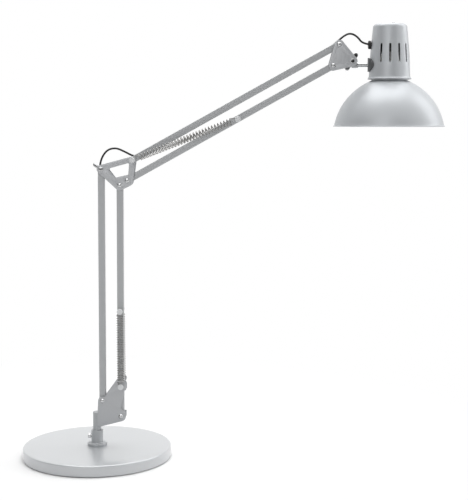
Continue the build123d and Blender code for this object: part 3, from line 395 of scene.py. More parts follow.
def cad_copy(node: str, name: str, flat_angle: float = 0.6) -> Piece:
    """A welded copy of a CAD node's mesh, with its flat faces joined.

    Args:
        node: the CAD node.
        name: the new object's name.
        flat_angle: faces closer to one plane than this many degrees are joined.

    Returns:
        The copy, which is not on any body yet.
    """
    deselect()
    piece = add(name, frame["nodes"][node].data.copy())
    piece.data.materials.clear()
    edit_all(piece, WELD)
    bpy.ops.mesh.dissolve_limited(angle_limit=radians(flat_angle))
    bpy.ops.object.mode_set(mode="OBJECT")
    return piece


def joined(pieces: Sequence[Piece], name: str) -> Piece:
    """One object made of several."""
    pick(pieces[0])
    for piece in pieces[1:]:
        piece.select_set(True)
    bpy.ops.object.join()
    whole = bpy.context.object
    whole.name = name
    return whole


def cut(piece: Piece, tool: Piece) -> Piece:
    """Cut a tool's shape out of a piece and remove the tool."""
    pick(piece)
    boolean = piece.modifiers.new("Cut", "BOOLEAN")
    boolean.operation = "DIFFERENCE"
    boolean.solver = "EXACT"
    boolean.object = tool
    bpy.ops.object.modifier_apply(modifier=boolean.name)
    bpy.data.objects.remove(tool)
    return piece


def tube_through(name: str, points: Iterable[Vector], radius: float, sides: int) -> Piece:
    """A round tube along close points, with closed ends, as a mesh."""
    line = bpy.data.curves.new(name, "CURVE")
    line.dimensions = "3D"
    line.bevel_depth = radius
    line.bevel_resolution = sides
    line.use_fill_caps = True
    points = list(points)
    spline = line.splines.new("POLY")
    spline.points.add(len(points) - 1)
    for target, point in zip(spline.points, points):
        target.co = (*point, 1.0)
    pick(add(name, line))
    bpy.ops.object.convert(target="MESH")
    return smooth(bpy.context.object, 60)


def on_side(centre: Vector, y: float, outwards: int = -1) -> Matrix:
    """The place of a turned piece whose axis points out of the front (-1) or the back (+1)."""
    turn = Matrix.Rotation(radians(90 if outwards < 0 else -90), 4, "X")
    return Matrix.Translation((centre.x, y, centre.z)) @ turn


def rightwards(x: float, z: float) -> Matrix:
    """The place of a turned piece whose axis points to the right."""
    right = Vector((1, 0, 0))
    return Matrix.Translation((x, 0, z)) @ right.to_track_quat("Z", "Y").to_matrix().to_4x4()


def drill(piece: Piece, radius: float, depth: float, place: Matrix, sides: int) -> None:
    """Cut a round hole into a piece, from a place along its axis."""
    tool = turned("hole", [(0, 0), (radius, 0), (radius, depth), (0, depth)], sides)
    cut(piece, move_to(tool, place))


@dataclass
class Assembly:
    """A part of the lamp that dresses its own pieces."""

    finishes: FinishBook
    made: list[str] = field(default_factory=list)

    def build(self) -> None:
        """Make the part's pieces."""
        raise NotImplementedError

    def dress(self, piece: Piece, slot: str, body: str | None,
              nodes: Sequence[str] = ()) -> Piece:
        """Give a piece its finish and its body, and hide the CAD nodes that it stands for.

        Args:
            piece: the finished piece.
            slot: the material slot.
            body: the CAD body that carries it, or None to leave it on no body.
            nodes: CAD nodes that it replaces.

        Returns:
            The same piece.
        """
        piece.data.materials.clear()
        piece.data.materials.append(self.finishes.material(slot))
        if nodes:
            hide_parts(*nodes)
        if body:
            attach(piece, body)
        self.made.append(piece.name)
        return piece

    def polish(self, node: str, slot: str, body: str, edge: float = 0.25 * MM,
               angle: float = 40.0) -> Piece:
        """Replace a CAD node by its own shape with softened edges."""
        piece = cad_copy(node, f"{node}_finished")
        if edge:
            soften(piece, edge, 2, angle)
        else:
            smooth(piece, angle)
        return self.dress(piece, slot, body, [node])


# ---- studio
# Name, place, turn in degrees and width of each dark card
CARDS = (("Front card", (0.0, -3.9, 1.1), 0.0, 6.5), ("Left card", (-3.2, -1.6, 1.1), 90.0, 3.6))
# Name, place, width and height, and watts of each soft lamp
LAMPS = (
    ("Key", (2.4, 0.5, 1.7), (1.2, 2.4), 22.0),
    ("Front", (-0.6, -3.0, 1.5), (1.6, 1.8), 19.0),
    ("Top", (0.2, 0.5, 2.8), (2.4, 2.4), 58.0),
)


@dataclass
class Studio:
    """Camera at the photograph's place, a pale floor, soft lamps and dark cards."""

    camera_place: tuple[float, float, float] = (0.21377, -1.78272, 0.52276)
    camera_pitch: float = -6.359
    lens: float = 84.105
    sensor: float = 36.0
    lamps_aim: tuple[float, float, float] = (0.2, 0.0, 0.3)
    floor_size: float = 14.0
    floor_height: float = -0.0002
    floor_grey: float = 0.9
    card_grey: float = 0.03
    card_height: float = 3.4
    dull: float = 0.9
    shadow_reach: float = 0.15
    white_from: float = 0.75
    room_light: float = 0.5

    def build_camera(self) -> None:
        """Make the scene's camera."""
        camera = bpy.data.cameras.new("Camera")
        camera.lens = self.lens
        camera.sensor_width = self.sensor
        camera.sensor_fit = "AUTO"
        holder = add("Camera", camera)
        holder.location = self.camera_place
        holder.rotation_euler = (radians(90 + self.camera_pitch), 0, 0)
        bpy.context.scene.camera = holder

    def _seen_directly(self, tree: bpy.types.NodeTree) -> bpy.types.NodeSocket:
        """A socket that is 1 for camera, glossy and transmission rays."""
        rays = tree.nodes.new("ShaderNodeLightPath").outputs
        seen = combine(tree, "MAXIMUM", rays["Is Camera Ray"], rays["Is Glossy Ray"])
        return combine(tree, "MAXIMUM", seen, rays["Is Transmission Ray"])

    def _matte(self, name: str, grey: float) -> bpy.types.Material:
        """A dull grey material."""
        material = bpy.data.materials.new(name)
        material.use_nodes = True
        put(material.node_tree.nodes["Principled BSDF"],
            {"Base Color": (grey, grey, grey, 1.0), "Roughness": self.dull})
        return material

    def _sheet(self, name: str, place: Sequence[float], size: float,
               material: bpy.types.Material) -> Piece:
        """A square plane of one material."""
        deselect()
        bpy.ops.mesh.primitive_plane_add(size=size, location=place)
        sheet = bpy.context.object
        sheet.name = name
        sheet.data.materials.append(material)
        return sheet

    def build_world(self) -> None:
        """Even light all round, white where it is seen and dimmer where it lights the lamp."""
        world = bpy.data.worlds.new("World")
        bpy.context.scene.world = world
        world.use_nodes = True
        tree = world.node_tree
        background = tree.nodes["Background"]
        put(background, {"Color": (1.0, 1.0, 1.0, 1.0)})
        level = tree.nodes.new("ShaderNodeMapRange")
        put(level, {"To Min": self.room_light, "To Max": 1.0})
        tree.links.new(self._seen_directly(tree), level.inputs["Value"])
        tree.links.new(level.outputs["Result"], background.inputs["Strength"])

    def build_cards(self) -> None:
        """Dark cards on the camera's side and on the left, for the metal to show."""
        material = self._matte("Card", self.card_grey)
        for name, place, turn, width in CARDS:
            card = self._sheet(name, place, 1.0, material)
            card.scale = (width, self.card_height, 1.0)
            card.rotation_euler = (radians(90), 0, radians(turn))
            settle(card)
            card.visible_camera = False

    def build_floor(self) -> None:
        """A pale floor that keeps the lamp's shadow and turns white away from it."""
        material = self._matte("Floor", self.floor_grey)
        tree = material.node_tree
        nodes, link = tree.nodes, tree.links.new
        place = nodes.new("ShaderNodeTexCoord")
        reach = nodes.new("ShaderNodeVectorMath")
        reach.operation = "LENGTH"
        fade = nodes.new("ShaderNodeMapRange")
        fade.interpolation_type = "SMOOTHSTEP"
        put(fade, {"From Min": self.shadow_reach, "From Max": self.white_from})
        white = nodes.new("ShaderNodeEmission")
        blend = nodes.new("ShaderNodeMixShader")
        link(place.outputs["Object"], reach.inputs[0])
        link(reach.outputs["Value"], fade.inputs["Value"])
        share = combine(tree, "MULTIPLY", fade.outputs["Result"], self._seen_directly(tree))
        link(share, blend.inputs["Fac"])
        link(nodes["Principled BSDF"].outputs["BSDF"], blend.inputs[1])
        link(white.outputs["Emission"], blend.inputs[2])
        link(blend.outputs["Shader"], nodes["Material Output"].inputs["Surface"])
        floor = settle(self._sheet("Floor", (0, 0, self.floor_height), self.floor_size, material))

    def build_lights(self) -> None:
        """Large soft lamps on the right, in front and above."""
        for name, place, size, power in LAMPS:
            light = bpy.data.lights.new(name, "AREA")
            light.shape = "RECTANGLE"
            light.size, light.size_y = size
            light.energy = power
            holder = add(name, light)
            holder.location = place
            aim = Vector(self.lamps_aim) - Vector(place)
            holder.rotation_euler = aim.to_track_quat("-Z", "Y").to_euler()

    def build(self) -> None:
        """Make the studio."""
        self.build_camera()
        self.build_world()
        self.build_cards()
        self.build_floor()
        self.build_lights()
        bpy.context.scene.view_settings.view_transform = "Standard"


# ---- lead
LOWER_UP = (PIVOT_C - PIVOT_A).normalized()
UPPER_UP = (PIVOT_P1 - PIVOT_E).normalized()
LEFT_TURN = Matrix.Rotation(radians(-90), 3, "Y")
# Points of the loops as read off the photograph, in millimetres right of and above a pivot
ELBOW_ROUTE = ((1.3, 18.6), (9.8, 29.4), (22.3, 32.1), (34.3, 27.1), (47.8, 19.9))
HEAD_ROUTE = ((5.4, 11.9), (15.9, 17.3), (26.9, 12.7))


def beside_rod(foot: Vector, direction: Vector, distance: float, side: float) -> Vector:
    """A point along a rod from its foot pivot and to its left, in millimetres."""
    return foot + direction * distance * MM + (LEFT_TURN @ direction) * side * MM


def off_pivot(pivot: Vector, route: Sequence[tuple[float, float]]) -> list[Vector]:
    """The places of a route's points, which are given from a pivot in millimetres."""
    return [pivot + Vector((x, 0, z)) * MM for x, z in route]


def run_of(line: Sequence[Vector]) -> float:
    """Length along close points."""
    return sum((b - a).length for a, b in zip(line, line[1:]))


@dataclass
class Lead(Assembly):
    """The black cord through the main rods, with its two loops."""

    radius: float = 1.5 * MM
    side: float = 2.85
    in_rod: float = 15.0

    def route_points(self, name: str, points: Sequence[Vector]) -> list[Vector]:
        """Close points along a NURBS line whose control points are the given ones."""
        line = bpy.data.curves.new(name, "CURVE")
        line.dimensions = "3D"
        line.resolution_u = 16
        spline = line.splines.new("NURBS")
        spline.points.add(len(points) - 1)
        for target, point in zip(spline.points, points):
            target.co = (*point, 1.0)
        spline.order_u = 3
        spline.use_endpoint_u = True
        cord = add(name, line)
        bpy.context.view_layer.update()
        mesh = bpy.data.meshes.new_from_object(cord)
        close = [vertex.co.copy() for vertex in mesh.vertices]
        bpy.data.meshes.remove(mesh)
        bpy.data.objects.remove(cord)
        return close

    def stretch(self, name: str, line: Sequence[Vector], nodes: Sequence[str],
                bodies: tuple[str, str]) -> Piece:
        """One stretch of cord, which is put on no body.

        Args:
            name: the new object's name.
            line: close points along the stretch.
            nodes: CAD nodes that it replaces.
            bodies: not used.

        Returns:
            The cord.
        """
        piece = tube_through(name, line, self.radius, 3)
        self.dress(piece, "lead_black", None, nodes)
        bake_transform(piece)
        return piece

    def split(self, line: Sequence[Vector], shares: Sequence[float]) -> list[list[Vector]]:
        """Cut a line of points at shares of its length, keeping the cut points in both parts."""
        marks = [share * run_of(line) for share in shares]
        parts, run = [[line[0]]], 0.0
        for a, b in zip(line, line[1:]):
            run += (b - a).length
            parts[-1].append(b)
            if marks and run >= marks[0]:
                parts.append([b])
                marks.pop(0)
        return parts

    def build_elbow_loop(self) -> None:
        """The loop from the lower rod's top to the upper rod's foot."""
        span = (PIVOT_C - PIVOT_A).length / MM
        line = self.route_points("elbow_route", [
            beside_rod(PIVOT_A, LOWER_UP, span - self.in_rod, self.side),
            beside_rod(PIVOT_A, LOWER_UP, span + 4.0, self.side),
            *off_pivot(PIVOT_C, ELBOW_ROUTE),
            beside_rod(PIVOT_E, UPPER_UP, 7.0, self.side),
            beside_rod(PIVOT_E, UPPER_UP, 2 * self.in_rod, self.side),
        ])
        rise, fall = self.split(line, [0.5])
        self.stretch("lead_elbow_rise", rise, ["lead_elbow_loop"], ("lower_main", "elbow"))
        self.stretch("lead_elbow_fall", fall, ["lead_elbow_loop"], ("elbow", "upper_main"))

    def build_head_loop(self) -> None:
        """The loop from the upper rod's end through the grommet to the lamp holder."""
        span = (PIVOT_P1 - PIVOT_E).length / MM
        grommet = node_centre("cord_grommet")
        face_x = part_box("cord_grommet")[0].x
        holder_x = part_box("lamp_holder")[0].x
        line = self.route_points("head_route", [
            beside_rod(PIVOT_E, UPPER_UP, span - 2 * self.in_rod, self.side),
            beside_rod(PIVOT_E, UPPER_UP, span - 9.0, self.side),
            *off_pivot(PIVOT_P1, HEAD_ROUTE),
            Vector((face_x - 7.0 * MM, 0, grommet.z)),
            Vector((holder_x + 3.0 * MM, 0, grommet.z)),
        ])
        parts = self.split(line, [0.34, 0.66])
        names = ("lead_head_rise", "lead_head_crest", "lead_head_fall")
        pairs = (("upper_main", "head_bracket"), ("head_bracket", "knuckle"), ("knuckle", "head"))
        for name, part, pair in zip(names, parts, pairs):
            self.stretch(name, part, ["lead_head_loop"], pair)

    def build(self) -> None:
        """Make the loops and finish the stretches inside the rods."""
        self.build_elbow_loop()
        self.build_head_loop()
        for node, body in (("lead_in_lower_rod", "lower_main"),
                           ("lead_in_upper_rod", "upper_main"), ("lead_bush", "lower_main")):
            self.polish(node, "lead_black", body, edge=0)


# ---- weighted base
@dataclass
class WeightedBase(Assembly):
    """The round base with its socket and thumb screw."""

    cover_radius: float = 115.0 * MM
    cover_foot: float = 0.9 * MM
    cover_top: float = 17.5 * MM
    cover_wall: float = 1.2 * MM
    edge: float = 2.4 * MM
    cover_hole: float = 8.45 * MM
    spigot_foot: float = 4.2 * MM
    spigot_radius: float = 8.3 * MM
    flange_top: float = 21.7 * MM
    flange_radius: float = 15.3 * MM
    socket_radius: float = 9.1 * MM
    socket_top: float = 42.0 * MM
    bore_radius: float = 6.35 * MM
    bore_floor: float = 8.0 * MM
    thumb_head: float = 4.6 * MM
    thumb_shank: float = 2.0 * MM
    rib_depth: float = 0.06

    def build_cover(self) -> None:
        """A pressed cover with a rounded top edge and a hole for the socket's spigot."""
        r, top, wall = self.cover_radius, self.cover_top, self.cover_wall
        hole, inner = self.cover_hole, self.edge - wall
        rings = [(hole, top), (0.03, top), (0.06, top), (0.09, top)]
        rings += arc_rings((r - self.edge, top - self.edge), self.edge, 90, 0, 8)
        rings += [(r, self.cover_foot + 0.3 * MM), (r - 0.3 * MM, self.cover_foot),
                  (r - wall, self.cover_foot)]
        rings += arc_rings((r - wall - inner, top - wall - inner), inner, 0, 90, 5)
        rings += [(0.05, top - wall), (hole, top - wall), (hole, top)]
        piece = smooth(turned("base_cover_turned", rings, 160, closed=True), 30)
        self.dress(piece, "base_paint", "base", ["base_cover"])

    def build_socket(self) -> None:
        """The flanged socket, with round edges and a soft root."""
        foot, seat, flange, top = (
            self.spigot_foot, self.cover_top, self.flange_top, self.socket_top)
        wall, rim, bore, spigot = (
            self.socket_radius, self.flange_radius, self.bore_radius, self.spigot_radius)
        rings = [(0, foot), (spigot, foot), (spigot, seat), (rim - 0.3 * MM, seat)]
        rings += arc_rings((rim - 1.0 * MM, flange - 1.0 * MM), 1.0 * MM, 0, 90, 5)
        rings += arc_rings((wall + 1.5 * MM, flange + 1.5 * MM), 1.5 * MM, 270, 180, 5)
        rings += arc_rings((wall - 0.8 * MM, top - 0.8 * MM), 0.8 * MM, 0, 90, 4)
        rings += [(bore + 0.4 * MM, top), (bore, top - 0.4 * MM), (bore, self.bore_floor),
                  (0, self.bore_floor)]
        piece = turned("base_socket_turned", rings, 72)
        drill(piece, self.thumb_shank + 0.05 * MM, 12 * MM,
              rightwards(-18 * MM, node_centre("thumb_screw").z), 24)
        self.dress(smooth(piece, 35), "socket_paint", "base", ["base_socket"])

    def build_thumb_screw(self) -> None:
        """A small screw with a ribbed head."""
        low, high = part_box("thumb_screw")
        z = (low.z + high.z) / 2
        head = (high.z - low.z) / 2
        length, shank, reach = self.thumb_head, self.thumb_shank, high.x - low.x
        rings = [(0, 0), (head * 0.72, 0), (head * 0.9, 0.5 * MM), (head, 1.0 * MM),
                 (head, length - 0.5 * MM), (head * 0.9, length), (shank, length),
                 (shank, reach), (0, reach)]
        sides = 48
        piece = turned("thumb_screw_turned", rings, sides)
        for vertex in piece.data.vertices:
            side = round(atan2(vertex.co.y, vertex.co.x) / (tau / sides))
            if hypot(vertex.co.x, vertex.co.y) > head * 0.95 and side % 2:
                vertex.co.x *= 1 - self.rib_depth
                vertex.co.y *= 1 - self.rib_depth
        move_to(piece, rightwards(low.x, z))
        self.dress(smooth(piece, 20), "bright_steel", "base", ["thumb_screw"])

    def build(self) -> None:
        """Make the base."""
        self.build_cover()
        self.build_socket()
        self.build_thumb_screw()
        for node, slot, edge in (
            ("base_weight", "cast_iron", 0), ("closing_plate", "zinc_steel", 0),
            ("foot_pad", "pad_felt", 0), ("weight_screws", "zinc_steel", 0.2),
            ("socket_nut", "zinc_steel", 0.3),
        ):
            self.polish(node, slot, "base", edge=edge * MM)


# ---- pivots and fasteners
# Reach of each wing nut's lobes, and their turn in degrees
LOBES = {"elbow_wing_nut": (15.4 * MM, 150.0), "tilt_wing_nut": (15.4 * MM, 57.0),
         "stem_wing_nut": (11.5 * MM, 66.0)}


@dataclass
class Fasteners(Assembly):
    """Rivets, bolts, wing nuts and peg caps."""

    pin: float = 1.5 * MM
    head: float = 3.5 * MM
    head_height: float = 2.0 * MM
    bolt_head: float = 3.8 * MM
    bolt_head_height: float = 1.8 * MM
    cap_radius: float = 4.4 * MM
    cap_thickness: float = 3.0 * MM
    lobe_width: float = 7.4 * MM
    lobe_thickness: float = 3.6 * MM
    hub_foot: float = 0.9 * MM
    hub_top: float = 5.0 * MM
    pitch: float = 0.7 * MM

    def dome(self, name: str, radius: float, height: float) -> Piece:
        """A domed head that stands on Z = 0."""
        steps = 7
        ball = (radius ** 2 + height ** 2) / (2 * height)
        rim = degrees(asin((height * 0.82 + ball - height) / ball))
        rings = [(0, 0), (radius * 0.96, 0), (radius, height * 0.12)]
        angles = [rim * 0.62 + (90 - rim * 0.62) * step / steps for step in range(1, steps)]
        rings += [(radius * cos(radians(a)) ** 0.75,
                   height * (0.12 + 0.88 * sin(radians(a)) ** 1.4)) for a in angles]
        rings += [(0, height)]
        return turned(name, rings, 40)

    def rivets(self, node: str, body: str, points: Sequence[Vector]) -> None:
        """Rivets through both plates, each with two domed heads."""
        pieces = []
        for index, point in enumerate(points):
            for side in (-1, 1):
                head = self.dome(f"{node}_{index}_{side}", self.head, self.head_height)
                pieces.append(move_to(head, on_side(point, side * PLATE_OUT, side)))
            shank = turned(f"{node}_{index}_shank", [
                (0, 0), (self.pin, 0), (self.pin, 2 * PLATE_OUT), (0, 2 * PLATE_OUT)], 24)
            pieces.append(move_to(shank, on_side(point, PLATE_OUT, -1)))
        self.dress(smooth(joined(pieces, f"{node}_finished"), 50), "bright_steel", body, [node])

    def bolt(self, node: str, body: str, point: Vector) -> None:
        """A bolt with a low round head in front and a thread at the back."""
        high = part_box(node)[1]
        head = turned(f"{node}_head", [
            (0, 0), (self.bolt_head, 0), (self.bolt_head, 0.7 * MM),
            *arc_rings((self.bolt_head - 1.1 * MM, 0.7 * MM), 1.1 * MM, 0, 90, 5),
            (0, self.bolt_head_height)], 40)
        move_to(head, on_side(point, -PLATE_OUT, -1))
        pitch = self.pitch
        rings = [(0, 0), (self.pin, 0), (self.pin, 2 * PLATE_OUT)]
        for turn in range(int((high.y - PLATE_OUT) / pitch) - 1):
            z = 2 * PLATE_OUT + turn * pitch
            rings += [(self.pin * 0.86, z + pitch * 0.35), (self.pin, z + pitch * 0.8)]
        rings += [(self.pin * 0.8, high.y + PLATE_OUT), (0, high.y + PLATE_OUT)]
        shank = turned(f"{node}_shank", rings, 24)
        move_to(shank, on_side(point, -PLATE_OUT, 1))
        piece = smooth(joined([head, shank], f"{node}_finished"), 40)
        self.dress(piece, "bright_steel", body, [node])

    def lobed_nut(self, node: str, body: str, point: Vector) -> None:
        """A nut on a washer, with two flat round lobes."""
        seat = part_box(node)[0].y
        hub = turned(f"{node}_hub", [
            (self.pin, 0), (5.0 * MM, 0), (5.0 * MM, self.hub_foot), *mm((4.5, 1.0), (4.5, 4.4)),
            (4.0 * MM, self.hub_top), (self.pin, self.hub_top), (self.pin, 0)], 40, closed=True)
        deselect()
        middle = self.hub_foot + self.lobe_thickness / 2
        bpy.ops.mesh.primitive_cylinder_add(vertices=40, radius=self.lobe_width / 2,
                                            depth=self.lobe_thickness, location=(0, 0, middle))
        lobes = bpy.context.object
        lobes.name = f"{node}_lobes"
        settle(lobes)
        reach, angle = LOBES[node]
        for vertex in lobes.data.vertices:
            if abs(vertex.co.x) > TINY:
                vertex.co.x += copysign(reach - self.lobe_width / 2, vertex.co.x)
        piece = joined([hub, soften(lobes, 0.9 * MM, 4)], f"{node}_finished")
        turn = Matrix.Rotation(radians(-angle), 4, "Z")
        move_to(piece, on_side(point, seat, 1) @ turn)
        self.dress(smooth(piece, 40), "bright_steel", body, [node])

    def caps(self, node: str, body: str, point: Vector) -> None:
        """Pale round caps on the ends of a peg."""
        low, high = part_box(node)
        sides = [side for side, edge in ((-1, low.y), (1, high.y))
                 if edge * side > self.cap_thickness]
        face = max(-low.y, high.y) - self.cap_thickness
        pieces = []
        for side in sides:
            rings = [(self.pin, 0), (self.cap_radius - 0.3 * MM, 0), (self.cap_radius, 0.3 * MM)]
            rings += arc_rings((self.cap_radius - 1.0 * MM, self.cap_thickness - 1.0 * MM),
                               1.0 * MM, 0, 90, 5)
            rings += [(0, self.cap_thickness)]
            cap = turned(f"{node}_{side}", rings, 40)
            pieces.append(move_to(cap, on_side(point, side * face, side)))
        self.dress(smooth(joined(pieces, f"{node}_finished"), 40), "washer_nylon", body, [node])

    def build(self) -> None:
        """Make all the fasteners of the arms."""
        self.rivets("stem_rivets", "stem", [PIVOT_A, PIVOT_B])
        self.rivets("elbow_rivets", "elbow", [PIVOT_D, PIVOT_F])
        self.rivets("head_rivets", "head_bracket", [PIVOT_P1, PIVOT_P2])
        self.bolt("elbow_bolt", "elbow", PIVOT_C)
        self.bolt("tilt_bolt", "head_bracket", PIVOT_P3)
        self.lobed_nut("elbow_wing_nut", "elbow", PIVOT_C)
        self.lobed_nut("tilt_wing_nut", "head_bracket", PIVOT_P3)
        self.lobed_nut("stem_wing_nut", "stem", PEG_H)
        self.caps("stem_peg_cap", "stem", PEG_H)
        self.caps("lower_spring_pin_caps", "lower_tie", PEG_I)
        self.caps("upper_spring_pin_caps", "upper_tie", PEG_G)
        self.caps("elbow_spring_pin_caps", "elbow", PIVOT_E)
        for node, body in (("stem_spring_pegs", "stem"), ("lower_spring_pin", "lower_tie"),
                           ("upper_spring_pin", "upper_tie"), ("elbow_spring_pin", "elbow")):
            self.polish(node, "bright_steel", body, edge=0)


# ---- arms
@dataclass
class Arms(Assembly):
    """Stem, stamped plates, square tubes and nylon washers."""

    def build(self) -> None:
        """Finish the stamped and drawn pieces from their CAD shapes."""
        self.polish("stem", "socket_paint", "stem", edge=0.3 * MM)
        groups = (("stem", "stem"), ("elbow", "elbow"), ("head", "head_bracket"))
        for group, body in groups:
            for side in ("front", "rear"):
                self.polish(f"{group}_plate_{side}", "plate_paint", body, edge=0.35 * MM)
        for rod in ("lower_main", "lower_tie", "upper_main", "upper_tie"):
            self.polish(f"{rod}_rod", "rod_paint", rod, edge=0)
        for group, body in groups:
            self.polish(f"{group}_pivot_washers", "washer_nylon", body, edge=0)


# ---- balance springs
@dataclass
class BalanceSprings(Assembly):
    """Four coil springs with an eye at each end."""

    wire: float = 0.6 * MM
    coil: float = 4.9 * MM
    eye: float = 2.15 * MM
    steps: int = 20
    eye_start: float = 125.0
    eye_sweep: float = 235.0
    eye_steps: int = 8
    hook_steps: int = 14

    def path(self, length: float, turns: int, tail: float) -> list[Vector]:
        """Points along one spring that stands on the origin, along +Z.

        Args:
            length: distance between the pegs.
            turns: turns of the coil.
            tail: distance from a peg to the coil.

        Returns:
            Points for the middle of the wire.
        """
        points = []
        for step in range(self.eye_steps + 1):
            angle = radians(self.eye_start + self.eye_sweep * step / self.eye_steps)
            points.append(Vector((self.eye * cos(angle), 0, self.eye * sin(angle))))
        start = Vector((self.eye, 0, 0))
        pitch = (length - 2 * tail) / turns
        first = Vector((self.coil, 0, tail))
        rise = Vector((0, 0, tail * 0.8))
        slope = Vector((0, tau * self.coil, pitch)).normalized() * tail * 0.9
        for step in range(1, self.hook_steps):
            t = step / self.hook_steps
            h00, h10 = 2 * t ** 3 - 3 * t ** 2 + 1, t ** 3 - 2 * t ** 2 + t
            h01, h11 = -2 * t ** 3 + 3 * t ** 2, t ** 3 - t ** 2
            points.append(start * h00 + rise * h10 + first * h01 + slope * h11)
        end = [Vector((p.x, -p.y, length - p.z)) for p in reversed(points)]
        for step in range(turns * self.steps + 1):
            angle = tau * step / self.steps
            points.append(Vector((self.coil * cos(angle), self.coil * sin(angle),
                                  tail + pitch * step / self.steps)))
        return points + end

    def spring(self, node: str, start: Vector, end: Vector, turns: int, tail: float,
               bodies: tuple[str, str]) -> None:
        """One spring between two pegs, put on no body."""
        y = node_centre(node).y
        axis = end - start
        side = axis.cross(Vector((0, 1, 0))).normalized()
        up = axis.normalized()
        turn = Matrix((side, up.cross(side), up)).transposed()
        wire = self.path(axis.length, turns, tail)
        points = [in_plane(start, y) + turn @ point for point in wire]
        piece = tube_through(f"{node}_wound", points, self.wire, 1)
        self.dress(piece, "spring_steel", None, [node])
        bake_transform(piece)

    def build(self) -> None:
        """Wind the four springs."""
        for side in ("front", "rear"):
            self.spring(f"lower_spring_{side}", PEG_H, PEG_I, 28, 7.0 * MM,
                        ("stem", "lower_tie"))
            self.spring(f"upper_spring_{side}", PIVOT_E, PEG_G, 30, 11.0 * MM,
                        ("elbow", "upper_tie"))


